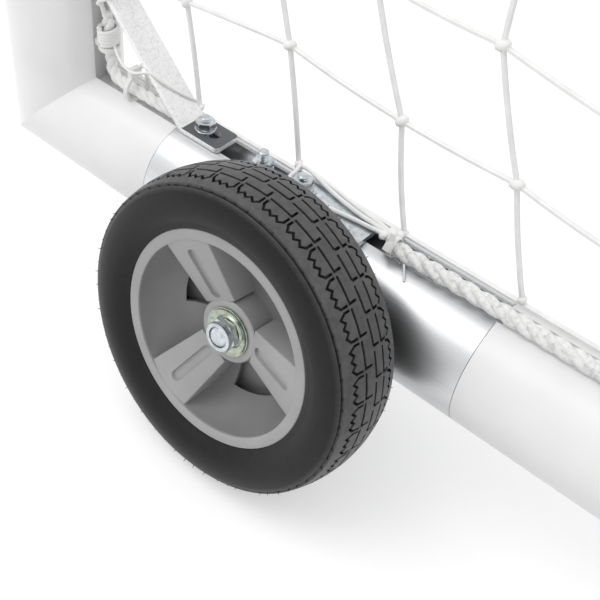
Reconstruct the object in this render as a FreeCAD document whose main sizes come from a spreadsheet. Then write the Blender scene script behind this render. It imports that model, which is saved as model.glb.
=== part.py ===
import FreeCAD, Part
import math
import os
import Sketcher

Vector = FreeCAD.Vector

# Portable goal-type net frame. Origin on the ground under the middle of the frame, +Z up,
# the mouth faces -Y and the rear ground bar lies at +Y. Millimetres.

doc = FreeCAD.newDocument("PortableGoal")
sheet = doc.addObject("Spreadsheet::Sheet", "Sizes")

driving_sizes = {
    # overall
    "mouth_width": 2740,
    "mouth_height": 1370,
    "ground_depth": 1200,
    "top_depth": 600,
    # large tube and its net groove
    "tube_diameter": 101.6,
    "tube_wall": 3,
    "groove_mouth": 20,
    "groove_lip": 4.5,
    "groove_width": 28,
    "groove_depth": 9,
    "corner_leg": 153.4,
    "wheel_section_length": 317,
    "joint_gap": 0.4,
    "spigot_length": 100,
    "spigot_wall": 3,
    "spigot_clearance": 0.3,
    # stays
    "stay_diameter": 50.8,
    "stay_wall": 2,
    "socket_wall": 2.8,
    "socket_clearance": 0.3,
    "socket_depth": 50,
    "socket_root": 12,
    "elbow_core_diameter": 62,
    "stub_sink": 10.16,
    # corner brace
    "brace_width": 27.5,
    "brace_thickness": 5,
    "brace_reach": 160,
    "brace_foot": 43,
    "brace_bolt": 177,
    "brace_slot_length": 24,
    # fasteners in the groove
    "bolt_diameter": 10,
    "bolt_hole": 11,
    "thread_clearance": 0.1,
    "bolt_tip": 3,
    "bolt_head_length": 25,
    "bolt_head_width": 17,
    "bolt_head_height": 6,
    "nut_width": 17,
    "nut_height": 8,
    "washer_diameter": 21,
    "washer_thickness": 2,
    "section_bolt_offset": 70,
    "seat_gap": 0.1,
    # wheels
    "wheel_camber": 11,
    "axle_drop": 25.2,
    "tyre_diameter": 254,
    "tyre_width": 70,
    "tyre_bore": 176,
    "tread_width": 58,
    "crown_radius": 90,
    "bead_width": 53,
    "rim_fit": 0.2,
    "rim_width": 53.6,
    "rim_lip": 9.8,
    "rim_wall": 5.8,
    "rim_flange": 6,
    "rim_step": 2,
    "hub_length": 50.8,
    "hub_inset": 40.7,
    "hub_diameter": 52,
    "bearing_diameter": 35,
    "bearing_length": 14,
    "bearing_flange_diameter": 40.2,
    "bearing_flange": 1.6,
    "spoke_count": 3,
    "spoke_angle": 212.8,
    "spoke_root_width": 27,
    "spoke_tip_width": 42,
    "spoke_thickness": 8,
    "spoke_root_sink": 4,
    "spoke_tip_sink": 2,
    "spoke_root_height": 9,
    "spoke_tip_height": 26,
    # axle
    "axle_diameter": 15.875,
    "axle_fit": 0.05,
    "axle_end": 21.6,
    "axle_head_width": 23.8,
    "axle_head_height": 10,
    "axle_nut_height": 11,
    "axle_washer_diameter": 34,
    "axle_washer_thickness": 3,
    "sleeve_wall": 4,
    "sleeve_clearance": 0.3,
    "hub_gap": 0.3,
    # axle bracket
    "bracket_length": 87,
    "bracket_thickness": 5,
    "bracket_overlap": 12.5,
    "bracket_drop": 22,
    "bracket_gap": 0.3,
    "bracket_bolt_offset": 28,
    # net, rope and ties
    "mesh_size": 101.6,
    "twine_thickness": 4,
    "net_inset": 16.5,
    "net_gap": 0.3,
    "net_corner_cut": 32,
    "rope_diameter": 13.5,
    "rope_offset": 6.5,
    "rope_clearance": 16.6,
    "tie_width": 4.8,
    "tie_thickness": 1.6,
    "tie_inset": 6,
}

for row, (name, number) in enumerate(driving_sizes.items(), 1):
    sheet.set(f"A{row}", name)
    sheet.set(f"B{row}", str(number))
    sheet.setAlias(f"B{row}", name)
doc.recompute()


def full(expression):
    """An expression with @name written out as the sheet's cell."""
    return str(expression).replace("@", "Sizes.")


def value(expression):
    result = sheet.evalExpression(full(expression))
    return float(getattr(result, "Value", result))


def bind(thing, **expressions):
    for prop, expression in expressions.items():
        thing.setExpression(prop, full(expression))


def place(thing, x=0, y=0, z=0, axis=(0, 0, 1), angle=0):
    """Puts a thing at a point worked out by the sheet, turned about an axis."""
    thing.Placement = FreeCAD.Placement(Vector(value(x), value(y), value(z)),
                                        FreeCAD.Rotation(Vector(*axis), value(angle)))
    thing.setExpression(".Placement.Base.x", full(x))
    thing.setExpression(".Placement.Base.y", full(y))
    thing.setExpression(".Placement.Base.z", full(z))
    if not isinstance(angle, (int, float)):
        thing.setExpression(".Placement.Rotation.Angle", full(angle))
    return thing


# Places that follow from the sizes. Every one is an expression on the sheet.
tube_radius = "(@tube_diameter / 2)"
post_x = f"(@mouth_width / 2 + {tube_radius})"
front_y = "(-@ground_depth / 2)"
rear_y = "(@ground_depth / 2)"
elbow_y = f"({front_y} + @top_depth)"
crossbar_z = f"(@mouth_height + {tube_radius})"
leg_face = f"({tube_radius} + @bracket_gap)"
washer_face = f"({leg_face} + @bracket_thickness + @axle_washer_thickness)"
wheel_reach = f"({washer_face} + @hub_gap + @hub_inset)"
wheel_height = "(cos(@wheel_camber) * (@tyre_diameter / 2 - @crown_radius) + @crown_radius)"
wheel_rise = f"({wheel_reach} * sin(@wheel_camber) - @axle_drop * cos(@wheel_camber))"
bar_z = f"({wheel_height} - {wheel_rise})"
axle_from_corner = "(@corner_leg + @wheel_section_length / 2)"
seat = f"(sqrt({tube_radius}^2 - (@groove_mouth / 2)^2) + @seat_gap)"
lip_under = f"({tube_radius} - @groove_lip)"
groove_floor = f"({lip_under} - @groove_depth)"
channel_under = f"({groove_floor} - @tube_wall)"
channel_half = "(@groove_width / 2 + @tube_wall)"
socket_radius = "(@stay_diameter / 2 + @socket_clearance + @socket_wall)"
socket_bore = "(@stay_diameter / 2 + @socket_clearance)"
stub_start = f"({tube_radius} - @stub_sink)"
stub_bore_start = f"({tube_radius} + @socket_root)"
stub_end = f"({stub_bore_start} + @socket_depth)"
elbow_bore_start = "(@elbow_core_diameter / 2 + @socket_root)"
elbow_end = f"({elbow_bore_start} + @socket_depth)"
stay_drop = f"({crossbar_z} - {bar_z})"
stay_run = f"({rear_y} - {elbow_y})"
stay_span = f"sqrt({stay_drop}^2 + {stay_run}^2)"
stay_lean = f"atan({stay_run} / {stay_drop})"

sides = {"right": 1, "left": -1}
ends = {"front": 1, "rear": -1}


def new(kind, name):
    return doc.addObject(kind, name)


def named(thing, label):
    thing.Label = label
    return thing


def origin_plane(body, role):
    return next(feature for feature in body.Origin.OriginFeatures if feature.Role == role)


def new_sketch(body, name, role):
    sketch = body.newObject("Sketcher::SketchObject", name)
    sketch.AttachmentSupport = [(origin_plane(body, role), "")]
    sketch.MapMode = "FlatFace"
    return sketch


def fix(sketch, edge, end, x=None, y=None):
    """Holds one end of an edge at coordinates worked out by the sheet."""
    for kind, expression in (("DistanceX", x), ("DistanceY", y)):
        if expression is not None:
            at = sketch.addConstraint(Sketcher.Constraint(kind, -1, 1, edge, end, value(expression)))
            sketch.setExpression(f"Constraints[{at}]", full(expression))


def outline(sketch, points):
    """A closed outline. A point is (x, y) or (x, y, radius): the radius bends the edge that
    leaves it, to the left when it is positive and to the right when it is negative."""
    first = sketch.GeometryCount
    spots = [Vector(value(point[0]), value(point[1]), 0) for point in points]
    count = len(points)
    starts, stops = [], []
    for index, point in enumerate(points):
        a, b = spots[index], spots[(index + 1) % count]
        radius = value(point[2]) if len(point) > 2 else 0
        edge = first + index
        if not radius:
            sketch.addGeometry(Part.LineSegment(a, b))
            starts.append((edge, 1))
            stops.append((edge, 2))
            continue
        half = (b - a) * 0.5
        rise = math.sqrt(max(radius**2 - half.Length**2, 0))
        normal = Vector(-half.y, half.x, 0).normalize()
        centre = a + half + normal * rise * (1 if radius > 0 else -1)
        begin, end = (a, b) if radius > 0 else (b, a)
        angles = [math.atan2(spot.y - centre.y, spot.x - centre.x) for spot in (begin, end)]
        if angles[1] < angles[0]:
            angles[1] += 2 * math.pi
        circle = Part.Circle(centre, Vector(0, 0, 1), abs(radius))
        sketch.addGeometry(Part.ArcOfCircle(circle, *angles))
        starts.append((edge, 1 if radius > 0 else 2))
        stops.append((edge, 2 if radius > 0 else 1))
        at = sketch.addConstraint(Sketcher.Constraint("Radius", edge, abs(radius)))
        sketch.setExpression(f"Constraints[{at}]", full(f"abs({point[2]})"))
    for index in range(count):
        following = starts[(index + 1) % count]
        sketch.addConstraint(Sketcher.Constraint("Coincident", *stops[index], *following))
    for index, point in enumerate(points):
        fix(sketch, *starts[index], point[0], point[1])


def ring_with_channel(sketch, points, radius):
    """Points of the channel from its left end to its right end, closed by the long arc below."""
    spots = [Vector(value(x), value(y), 0) for x, y in points]
    first = sketch.GeometryCount
    for a, b in zip(spots, spots[1:]):
        sketch.addGeometry(Part.LineSegment(a, b))
    begin = math.atan2(spots[0].y, spots[0].x)
    end = math.atan2(spots[-1].y, spots[-1].x) + 2 * math.pi
    circle = Part.Circle(Vector(), Vector(0, 0, 1), value(radius))
    arc = sketch.addGeometry(Part.ArcOfCircle(circle, begin, end))
    for edge in range(first, arc - 1):
        sketch.addConstraint(Sketcher.Constraint("Coincident", edge, 2, edge + 1, 1))
    sketch.addConstraint(Sketcher.Constraint("Coincident", arc - 1, 2, arc, 2))
    sketch.addConstraint(Sketcher.Constraint("Coincident", arc, 1, first, 1))
    sketch.addConstraint(Sketcher.Constraint("Coincident", arc, 3, -1, 1))
    at = sketch.addConstraint(Sketcher.Constraint("Radius", arc, value(radius)))
    sketch.setExpression(f"Constraints[{at}]", full(radius))
    last = len(points) - 1
    for index, (x, y) in enumerate(points):
        edge, end = (first + index, 1) if index < last else (arc - 1, 2)
        fix(sketch, edge, end, x, None if index in (0, last) else y)


def tube_profile(body, role, offset=0):
    """Section of the large tube: a round wall with a C channel let into its top."""
    sketch = new_sketch(body, "Section", role)
    mouth, inner = "@groove_mouth / 2", "@groove_width / 2"
    rim_y = f"sqrt({tube_radius}^2 - ({mouth})^2)"
    ring_with_channel(sketch, [
        (f"-{mouth}", rim_y), (f"-{mouth}", lip_under), (f"-{inner}", lip_under),
        (f"-{inner}", groove_floor), (inner, groove_floor), (inner, lip_under),
        (mouth, lip_under), (mouth, rim_y)], tube_radius)
    inner_radius = f"({tube_radius} - @tube_wall)"
    side_y = f"sqrt({inner_radius}^2 - {channel_half}^2)"
    ring_with_channel(sketch, [
        (f"-{channel_half}", side_y), (f"-{channel_half}", channel_under),
        (channel_half, channel_under), (channel_half, side_y)], inner_radius)
    sketch.setExpression("AttachmentOffset.Base.z", full(offset))
    return sketch


def pad(body, sketch, length, symmetric=False):
    feature = body.newObject("PartDesign::Pad", "Pad")
    feature.Profile = sketch
    if symmetric:
        feature.SideType = "Symmetric"
    feature.Length = value(length)
    bind(feature, Length=length)
    return feature


def cylinder(name, radius, height, **where):
    thing = new("Part::Cylinder", name)
    bind(thing, Radius=radius, Height=height)
    return place(thing, **where)


def box(name, length, width, height, **where):
    thing = new("Part::Box", name)
    bind(thing, Length=length, Width=width, Height=height)
    return place(thing, **where)


def cut(name, base, *tools):
    thing = new("Part::Cut", name)
    thing.Base = base
    thing.Tool = tools[0] if len(tools) == 1 else fuse(name + "_tools", *tools)
    return thing


def fuse(name, *shapes):
    thing = new("Part::MultiFuse", name)
    thing.Shapes = list(shapes)
    return thing


def copy_of(master, name, **where):
    link = new("App::Link", name)
    link.LinkedObject = master
    return place(link, **where)


def group(label, things):
    """Identical pieces that share a node, each still a solid of its own."""
    thing = new("Part::Compound", label)
    thing.Links = things
    subparts.append(named(thing, label))
    return thing


subparts = []


def sub_part(thing, label):
    subparts.append(named(thing, label))
    return thing


# Straight tubes. The section lies on XY with its groove towards +Y and is padded along +Z.
upright = dict(axis=(0, 0, 1), angle=0)
along_y = dict(axis=(0, 1, 1), angle=180)
along_x_groove_y = dict(axis=(0, 1, 0), angle=90)
along_x_groove_z = dict(axis=(1, 1, 1), angle=120)


def straight_tube(name, length, **where):
    body = new("PartDesign::Body", name)
    pad(body, tube_profile(body, "XY_Plane"), length)
    return place(body, **where)


tube_end = "(@corner_leg + @joint_gap / 2)"
bar_run = f"(2 * {post_x} - 2 * {tube_end})"
sub_part(straight_tube("Crossbar", bar_run, x=f"{tube_end} - {post_x}", y=front_y, z=crossbar_z,
                       **along_x_groove_y), "crossbar")
sub_part(straight_tube("RearBar", bar_run, x=f"{tube_end} - {post_x}", y=rear_y, z=bar_z,
                       **along_x_groove_z), "rear_bar")
section_run = "(@wheel_section_length - @joint_gap)"
side_run = "(@ground_depth - 2 * @corner_leg - 2 * @wheel_section_length - @joint_gap)"
for side, sign in sides.items():
    x = f"{sign} * {post_x}"
    sub_part(straight_tube(f"Post_{side}", f"{stay_drop} - 2 * {tube_end}", x=x, y=front_y,
                           z=f"{bar_z} + {tube_end}", **upright), f"post_{side}")
    sub_part(straight_tube(f"SideBar_{side}", side_run, x=x, z=bar_z,
                           y=f"-{side_run} / 2", **along_y), f"side_bar_{side}")


def axle_place(sign, end, reach):
    """Placement in the frame of an axle: local +Z runs outward along the axle, at a reach
    from the tube's centre line."""
    angle = f"{sign} * (90 - @wheel_camber)"
    x = f"{sign} * ({post_x} + ({reach}) * cos(@wheel_camber) + @axle_drop * sin(@wheel_camber))"
    y = f"{-end} * (@ground_depth / 2 - {axle_from_corner})"
    z = f"{bar_z} + ({reach}) * sin(@wheel_camber) - @axle_drop * cos(@wheel_camber)"
    return dict(x=x, y=y, z=z, axis=(0, 1, 0), angle=angle)


# Wheel sections, each with the cross hole of its axle sleeve.
sleeve_radius = "(@axle_diameter / 2 + @axle_fit + @sleeve_wall)"
for side, sign in sides.items():
    for end, facing in ends.items():
        start = f"-@ground_depth / 2 + {tube_end}"
        if facing < 0:
            start = f"@ground_depth / 2 - {tube_end} - {section_run}"
        tube = straight_tube(f"Section_{end}_{side}", section_run, x=f"{sign} * {post_x}",
                             y=start, z=bar_z, **along_y)
        hole = cylinder(f"SleeveHole_{end}_{side}", f"{sleeve_radius} + @sleeve_clearance",
                        "@tube_diameter * 2", **axle_place(sign, facing, "-@tube_diameter"))
        sub_part(cut(f"WheelSection_{end}_{side}", tube, hole), f"wheel_section_{end}_{side}")

# Mitred corners. The section is swept round a square turn, so both legs meet on the mitre.
def elbow(name, section_role, section_offset, route_role, route):
    body = new("PartDesign::Body", name)
    section = tube_profile(body, section_role, section_offset)
    path = new_sketch(body, "Route", route_role)
    spots = [Vector(value(x), value(y), 0) for x, y in route]
    path.addGeometry(Part.LineSegment(spots[0], spots[1]))
    path.addGeometry(Part.LineSegment(spots[1], spots[2]))
    path.addConstraint(Sketcher.Constraint("Coincident", 0, 2, 1, 1))
    for (edge, end), (x, y) in zip(((0, 1), (1, 1), (1, 2)), route):
        fix(path, edge, end, x, y)
    doc.recompute()
    sweep = body.newObject("PartDesign::AdditivePipe", "Sweep")
    sweep.Profile = section
    sweep.Spine = (path, ["Edge1", "Edge2"])
    sweep.Transition = "Right corner"
    return body


leg = "(@corner_leg - @joint_gap / 2)"
for side, sign in sides.items():
    inward = -sign
    x = f"{sign} * {post_x}"
    front = elbow(f"CornerFront_{side}", "XZ_Plane", f"-{leg}", "YZ_Plane",
                  [(leg, 0), (0, 0), (0, leg)])
    sub_part(place(front, x=x, y=front_y, z=bar_z), f"corner_front_{side}")

    rear = elbow(f"CornerRear_{side}", "XZ_Plane", leg, "XY_Plane",
                 [(0, f"-{leg}"), (0, 0), (f"{inward} * {leg}", 0)])
    place(rear, x=x, y=rear_y, z=bar_z)
    lean = dict(axis=(1, 0, 0), angle=stay_lean)
    rear_stub = cylinder(f"RearStub_{side}", socket_radius, f"{stub_end} - {stub_start}", x=x,
                         y=f"{rear_y} - {stub_start} * sin({stay_lean})",
                         z=f"{bar_z} + {stub_start} * cos({stay_lean})", **lean)
    rear_bore = cylinder(f"RearBore_{side}", socket_bore, "@socket_depth + @joint_gap", x=x,
                         y=f"{rear_y} - {stub_bore_start} * sin({stay_lean})",
                         z=f"{bar_z} + {stub_bore_start} * cos({stay_lean})", **lean)
    rear_blank = fuse(f"RearCornerBlank_{side}", rear, rear_stub)
    sub_part(cut(f"RearCornerSocket_{side}", rear_blank, rear_bore), f"corner_rear_{side}")

    top = elbow(f"CornerTop_{side}", "XY_Plane", f"-{leg}", "XZ_Plane",
                [(0, f"-{leg}"), (0, 0), (f"{inward} * {leg}", 0)])
    place(top, x=x, y=front_y, z=crossbar_z)
    back = dict(axis=(1, 0, 0), angle=-90)
    top_stub = cylinder(f"TopStub_{side}", socket_radius, f"{stub_end} - {stub_start}", x=x,
                        y=f"{front_y} + {stub_start}", z=crossbar_z, **back)
    top_bore = cylinder(f"TopBore_{side}", socket_bore, "@socket_depth + @joint_gap", x=x,
                        y=f"{front_y} + {stub_bore_start}", z=crossbar_z, **back)
    top_blank = fuse(f"TopCornerBlank_{side}", top, top_stub)
    sub_part(cut(f"TopCornerSocket_{side}", top_blank, top_bore), f"corner_top_{side}")

# Stays and the three-way elbows that join them.
def stay_tube(name, length, **where):
    outer = cylinder(name + "_outer", "@stay_diameter / 2", length, **where)
    bore = cylinder(name + "_bore", "@stay_diameter / 2 - @stay_wall", length, **where)
    return cut(name, outer, bore)


stay_start = f"({stub_bore_start} + @joint_gap)"
stay_stop = f"({elbow_bore_start} + @joint_gap)"
for side, sign in sides.items():
    x = f"{sign} * {post_x}"
    sub_part(stay_tube(f"TopStay_{side}", f"@top_depth - {stay_start} - {stay_stop}", x=x,
                       y=f"{front_y} + {stay_start}", z=crossbar_z, axis=(1, 0, 0), angle=-90),
             f"top_stay_{side}")
    sub_part(stay_tube(f"BackStay_{side}", f"{stay_span} - {stay_start} - {stay_stop}", x=x,
                       y=f"{rear_y} - {stay_start} * sin({stay_lean})",
                       z=f"{bar_z} + {stay_start} * cos({stay_lean})", axis=(1, 0, 0), angle=stay_lean),
             f"back_stay_{side}")
    arms = {
        "Front": (0, -1, 0, (1, 0, 0), 90),
        "Inner": (-sign, 0, 0, (0, 1, 0), -sign * 90),
        "Down": (0, f"sin({stay_lean})", f"-cos({stay_lean})", (1, 0, 0), f"180deg + {stay_lean}"),
    }
    core = new("Part::Sphere", f"ElbowCore_{side}")
    bind(core, Radius="@elbow_core_diameter / 2")
    place(core, x=x, y=elbow_y, z=crossbar_z)
    blanks, bores = [core], []
    for arm, (dx, dy, dz, axis, angle) in arms.items():
        blanks.append(cylinder(f"Elbow{arm}_{side}", socket_radius, elbow_end, x=x, y=elbow_y,
                               z=crossbar_z, axis=axis, angle=angle))
        bores.append(cylinder(f"ElbowBore{arm}_{side}", socket_bore, "@socket_depth + @joint_gap",
                              x=f"{x} + ({dx}) * {elbow_bore_start}",
                              y=f"{elbow_y} + ({dy}) * {elbow_bore_start}",
                              z=f"{crossbar_z} + ({dz}) * {elbow_bore_start}", axis=axis, angle=angle))
    sub_part(cut(f"StayElbow_{side}", fuse(f"StayElbowBlank_{side}", *blanks), *bores),
             f"stay_elbow_{side}")
sub_part(stay_tube("RearTopBar", f"2 * {post_x} - 2 * {stay_stop}", x=f"{stay_stop} - {post_x}",
                   y=elbow_y, z=crossbar_z, axis=(0, 1, 0), angle=90), "rear_top_bar")

# Spigots bridge every joint of the large tube from inside, open on the side of the groove.
spigot_radius = f"({tube_radius} - @tube_wall - @spigot_clearance)"
spigot_blank = cylinder("SpigotBlank", spigot_radius, "@spigot_length", z="-@spigot_length / 2")
spigot_bore = cylinder("SpigotBore", f"{spigot_radius} - @spigot_wall", "@spigot_length",
                       z="-@spigot_length / 2")
spigot_slot = box("SpigotSlot", f"2 * ({channel_half} + @spigot_clearance)", "@tube_diameter",
                  "@spigot_length", x=f"-({channel_half} + @spigot_clearance)",
                  y=f"{channel_under} - @spigot_clearance", z="-@spigot_length / 2")
spigot = cut("Spigot", spigot_blank, spigot_bore, spigot_slot)
for side, sign in sides.items():
    x = f"{sign} * {post_x}"
    inner_x = f"{sign} * ({post_x} - @corner_leg)"
    spots = [
        dict(x=x, y=front_y, z=f"{bar_z} + @corner_leg", **upright),
        dict(x=x, y=front_y, z=f"{crossbar_z} - @corner_leg", **upright),
        dict(x=inner_x, y=front_y, z=crossbar_z, **along_x_groove_y),
        dict(x=inner_x, y=rear_y, z=bar_z, **along_x_groove_z),
    ]
    for facing in ends.values():
        for reach in ("@corner_leg", "@corner_leg + @wheel_section_length"):
            spots.append(dict(x=x, y=f"{-facing} * (@ground_depth / 2 - ({reach}))", z=bar_z, **along_y))
    group(f"joint_spigots_{side}",
          [copy_of(spigot, f"Spigot_{side}_{index}", **spot) for index, spot in enumerate(spots)])

# Corner brace: a flat bar with a bent foot at each end, seated on the groove's lips.
def brace(name):
    body = new("PartDesign::Body", name)
    sketch = new_sketch(body, "BraceOutline", "YZ_Plane")
    top = f"({seat} + @brace_thickness)"
    shift = f"({seat} + @brace_reach)"
    rise = f"({shift} + @brace_thickness * sqrt(2))"
    foot_end = "(@brace_reach + @brace_foot)"
    outline(sketch, [
        (foot_end, seat), (foot_end, top), (f"{rise} - {top}", top), (top, f"{rise} - {top}"),
        (top, foot_end), (seat, foot_end), (seat, f"{shift} - {seat}"), (f"{shift} - {seat}", seat)])
    pad(body, sketch, "@brace_width", symmetric=True)
    return body


def slot_tool(name, axis, angle, y, z):
    straight = "(@brace_slot_length - @bolt_hole)"
    deep = "@brace_thickness * 4"
    middle = box(name + "_middle", "@bolt_hole", straight, deep, x="-@bolt_hole / 2",
                 y=f"-{straight} / 2")
    ends_of_slot = [cylinder(f"{name}_{word}", "@bolt_hole / 2", deep, y=f"{turn} * {straight} / 2")
                    for word, turn in (("near", -1), ("far", 1))]
    return place(fuse(name, middle, *ends_of_slot), y=y, z=z, axis=axis, angle=angle)


brace_hole = "(@brace_reach + @brace_foot / 2)"
for side, sign in sides.items():
    blank = brace(f"BraceBar_{side}")
    lying = slot_tool(f"BraceSlotLow_{side}", (0, 0, 1), 0, brace_hole, f"{seat} - @brace_thickness")
    standing = slot_tool(f"BraceSlotHigh_{side}", (1, 0, 0), -90, f"{seat} - @brace_thickness", brace_hole)
    strap = cut(f"Brace_{side}", blank, lying, standing)
    sub_part(place(strap, x=f"{sign} * {post_x}", y=front_y, z=bar_z), f"brace_{side}")

# Fasteners that stand in the groove. Each master has its seat at its origin, facing +Z.
stack = "(@brace_thickness + @washer_thickness + @nut_height + @bolt_tip)"
head_top = f"({lip_under} - {seat} - @seat_gap)"
bolt_head = box("GrooveBoltHead", "@bolt_head_length", "@bolt_head_width", "@bolt_head_height",
                x="-@bolt_head_length / 2", y="-@bolt_head_width / 2",
                z=f"{head_top} - @bolt_head_height")
bolt_shank = cylinder("GrooveBoltShank", "@bolt_diameter / 2", f"{stack} - {head_top}", z=head_top)
groove_bolt = fuse("GrooveBolt", bolt_head, bolt_shank)
nut_blank = new("Part::Prism", "HexNutBlank")
nut_blank.Polygon = 6
bind(nut_blank, Circumradius="@nut_width / sqrt(3)", Height="@nut_height")
thread_radius = "(@bolt_diameter / 2 + @thread_clearance)"
hex_nut = cut("HexNut", nut_blank, cylinder("HexNutBore", thread_radius, "@nut_height"))
flat_washer = cut("FlatWasher", cylinder("FlatWasherBlank", "@washer_diameter / 2", "@washer_thickness"),
                  cylinder("FlatWasherBore", "@bolt_hole / 2", "@washer_thickness"))

bolt_places = []
for side, sign in sides.items():
    x = f"{sign} * {post_x}"
    bolt_places.append((dict(x=x, y=f"{front_y} + @brace_bolt"), "z", "@brace_thickness"))
    bolt_places.append((dict(x=x, z=f"{bar_z} + @brace_bolt"), "y", "@brace_thickness"))
    for facing in ends.values():
        axle_y = f"{-facing} * (@ground_depth / 2 - {axle_from_corner})"
        bolt_places.append((dict(x=x, y=f"{axle_y} - {facing} * @section_bolt_offset"), "z", "0"))
        bolt_places.append((dict(x=x, y=f"{axle_y} - {facing} * @bracket_bolt_offset"), "z",
                            "@bracket_thickness"))


def stacked(master, name, spot, direction, plate, rise):
    """A copy of a fastener at its place, lifted off the groove's lips by what lies under it."""
    height = f"{seat} + ({rise}) + {plate}" if rise is not None else seat
    if direction == "z":
        return copy_of(master, name, z=f"{bar_z} + {height}", **spot)
    return copy_of(master, name, y=f"{front_y} + {height}", axis=(1, 0, 0), angle=-90, **spot)


for label, master, rise in (("groove_bolts", groove_bolt, None), ("flat_washers", flat_washer, "0"),
                            ("hex_nuts", hex_nut, "@washer_thickness")):
    group(label, [stacked(master, f"{label}_{index}", *spot, rise)
                  for index, spot in enumerate(bolt_places)])

# Axle hardware. Masters start at their inner face and run outward along +Z.
axle_radius = "(@axle_diameter / 2)"
axle_bore = f"({axle_radius} + @axle_fit)"
sleeve_end = leg_face
sleeve = cut("AxleSleeve", cylinder("AxleSleeveBlank", sleeve_radius, f"2 * {sleeve_end}"),
             cylinder("AxleSleeveBore", axle_bore, f"2 * {sleeve_end}"))
axle_washer = cut("AxleWasher",
                  cylinder("AxleWasherBlank", "@axle_washer_diameter / 2", "@axle_washer_thickness"),
                  cylinder("AxleWasherBore", axle_bore, "@axle_washer_thickness"))
head_blank = new("Part::Prism", "AxleHead")
head_blank.Polygon = 6
bind(head_blank, Circumradius="@axle_head_width / sqrt(3)", Height="@axle_head_height")
head_reach = f"(-{sleeve_end} - @axle_washer_thickness - @axle_head_height)"
shank_length = f"{wheel_reach} + @axle_end - {head_reach}"
axle_bolt = fuse("AxleBolt", head_blank, cylinder("AxleShank", axle_radius, shank_length))
nut_body = new("Part::Prism", "AxleNutBlank")
nut_body.Polygon = 6
bind(nut_body, Circumradius="@axle_head_width / sqrt(3)", Height="@axle_nut_height")
axle_nut = cut("AxleNut", nut_body,
               cylinder("AxleNutBore", f"{axle_radius} + @thread_clearance", "@axle_nut_height"))
hub_face = f"({washer_face} + @hub_gap)"
nut_reach = f"({hub_face} + @hub_length + @hub_gap)"
corners = [(side, sign, end, facing) for side, sign in sides.items() for end, facing in ends.items()]


def on_every_axle(master, *reaches):
    return [copy_of(master, f"{master.Name}_{end}_{side}_{index}", **axle_place(sign, facing, reach))
            for side, sign, end, facing in corners for index, reach in enumerate(reaches)]


group("axle_sleeves", on_every_axle(sleeve, f"-{sleeve_end}"))
group("axle_bolts", on_every_axle(axle_bolt, head_reach))
group("axle_washers", on_every_axle(axle_washer, f"-{sleeve_end} - @axle_washer_thickness",
                                    f"{leg_face} + @bracket_thickness"))
group("axle_nuts", on_every_axle(axle_nut, nut_reach))

# Axle bracket: a bent plate, its flange seated on the groove's lips and its leg square to the axle.
def bracket(name, sign, facing):
    body = new("PartDesign::Body", name)
    sketch = new_sketch(body, "BracketOutline", "XZ_Plane")
    top = f"({seat} + @bracket_thickness)"
    lean_in = "tan(@wheel_camber)"
    inner = leg_face
    outer = f"({leg_face} + @bracket_thickness)"
    low = "(-@axle_drop - @bracket_drop)"

    def on_leg(reach, height):
        """X of the leg's plane at a reach along the axle, at a height over the tube's centre."""
        return f"({reach} / cos(@wheel_camber) - ({height}) * {lean_in})"

    def across(reach, along):
        x_at = f"{sign} * ({reach} * cos(@wheel_camber) - ({along}) * sin(@wheel_camber))"
        z_at = f"{reach} * sin(@wheel_camber) + ({along}) * cos(@wheel_camber)"
        return (x_at, z_at)

    outline(sketch, [
        (f"-{sign} * @bracket_overlap", seat), (f"{sign} * {on_leg(inner, seat)}", seat),
        across(inner, low), across(outer, low), (f"{sign} * {on_leg(outer, top)}", top),
        (f"-{sign} * @bracket_overlap", top)])
    pad(body, sketch, "@bracket_length", symmetric=True)
    return body


for side, sign, end, facing in corners:
    blank = place(bracket(f"BracketBlank_{end}_{side}", sign, facing), x=f"{sign} * {post_x}",
                  y=f"{-facing} * (@ground_depth / 2 - {axle_from_corner})", z=bar_z)
    axle_hole = cylinder(f"BracketAxleHole_{end}_{side}", f"{axle_bore} + @sleeve_clearance",
                         "@bracket_thickness * 3",
                         **axle_place(sign, facing, f"{leg_face} - @bracket_thickness"))
    bolt_hole = cylinder(f"BracketBoltHole_{end}_{side}", "@bolt_hole / 2", "@bracket_thickness * 3",
                         x=f"{sign} * {post_x}", z=f"{bar_z} + {seat} - @bracket_thickness",
                         y=f"{-facing} * (@ground_depth / 2 - {axle_from_corner})"
                           f" - {facing} * @bracket_bolt_offset")
    sub_part(cut(f"AxleBracket_{end}_{side}", blank, axle_hole, bolt_hole),
             f"axle_bracket_{end}_{side}")

# Wheels, modelled about local Z with the wheel's middle plane at the origin.
def revolve(body, name, points):
    sketch = new_sketch(body, name, "XZ_Plane")
    outline(sketch, points)
    feature = body.newObject("PartDesign::Revolution", name + "Turn")
    feature.Profile = sketch
    feature.ReferenceAxis = (sketch, ["V_Axis"])
    feature.Angle = 360
    return feature


def tyre(name):
    body = new("PartDesign::Body", name)
    bore, half_bead, half_tread = "@tyre_bore / 2", "@bead_width / 2", "@tread_width / 2"
    radius = "(@tyre_diameter / 2)"
    shoulder = f"({radius} - @crown_radius + sqrt(@crown_radius^2 - ({half_tread})^2))"
    widest = f"(({radius} + @tyre_bore / 2) / 2)"
    revolve(body, "TyreSection", [
        (bore, f"-{half_bead}"), (widest, "-@tyre_width / 2"),
        (shoulder, f"-{half_tread}", "@crown_radius"),
        (shoulder, half_tread), (widest, "@tyre_width / 2"), (bore, half_bead)])
    return body


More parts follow.
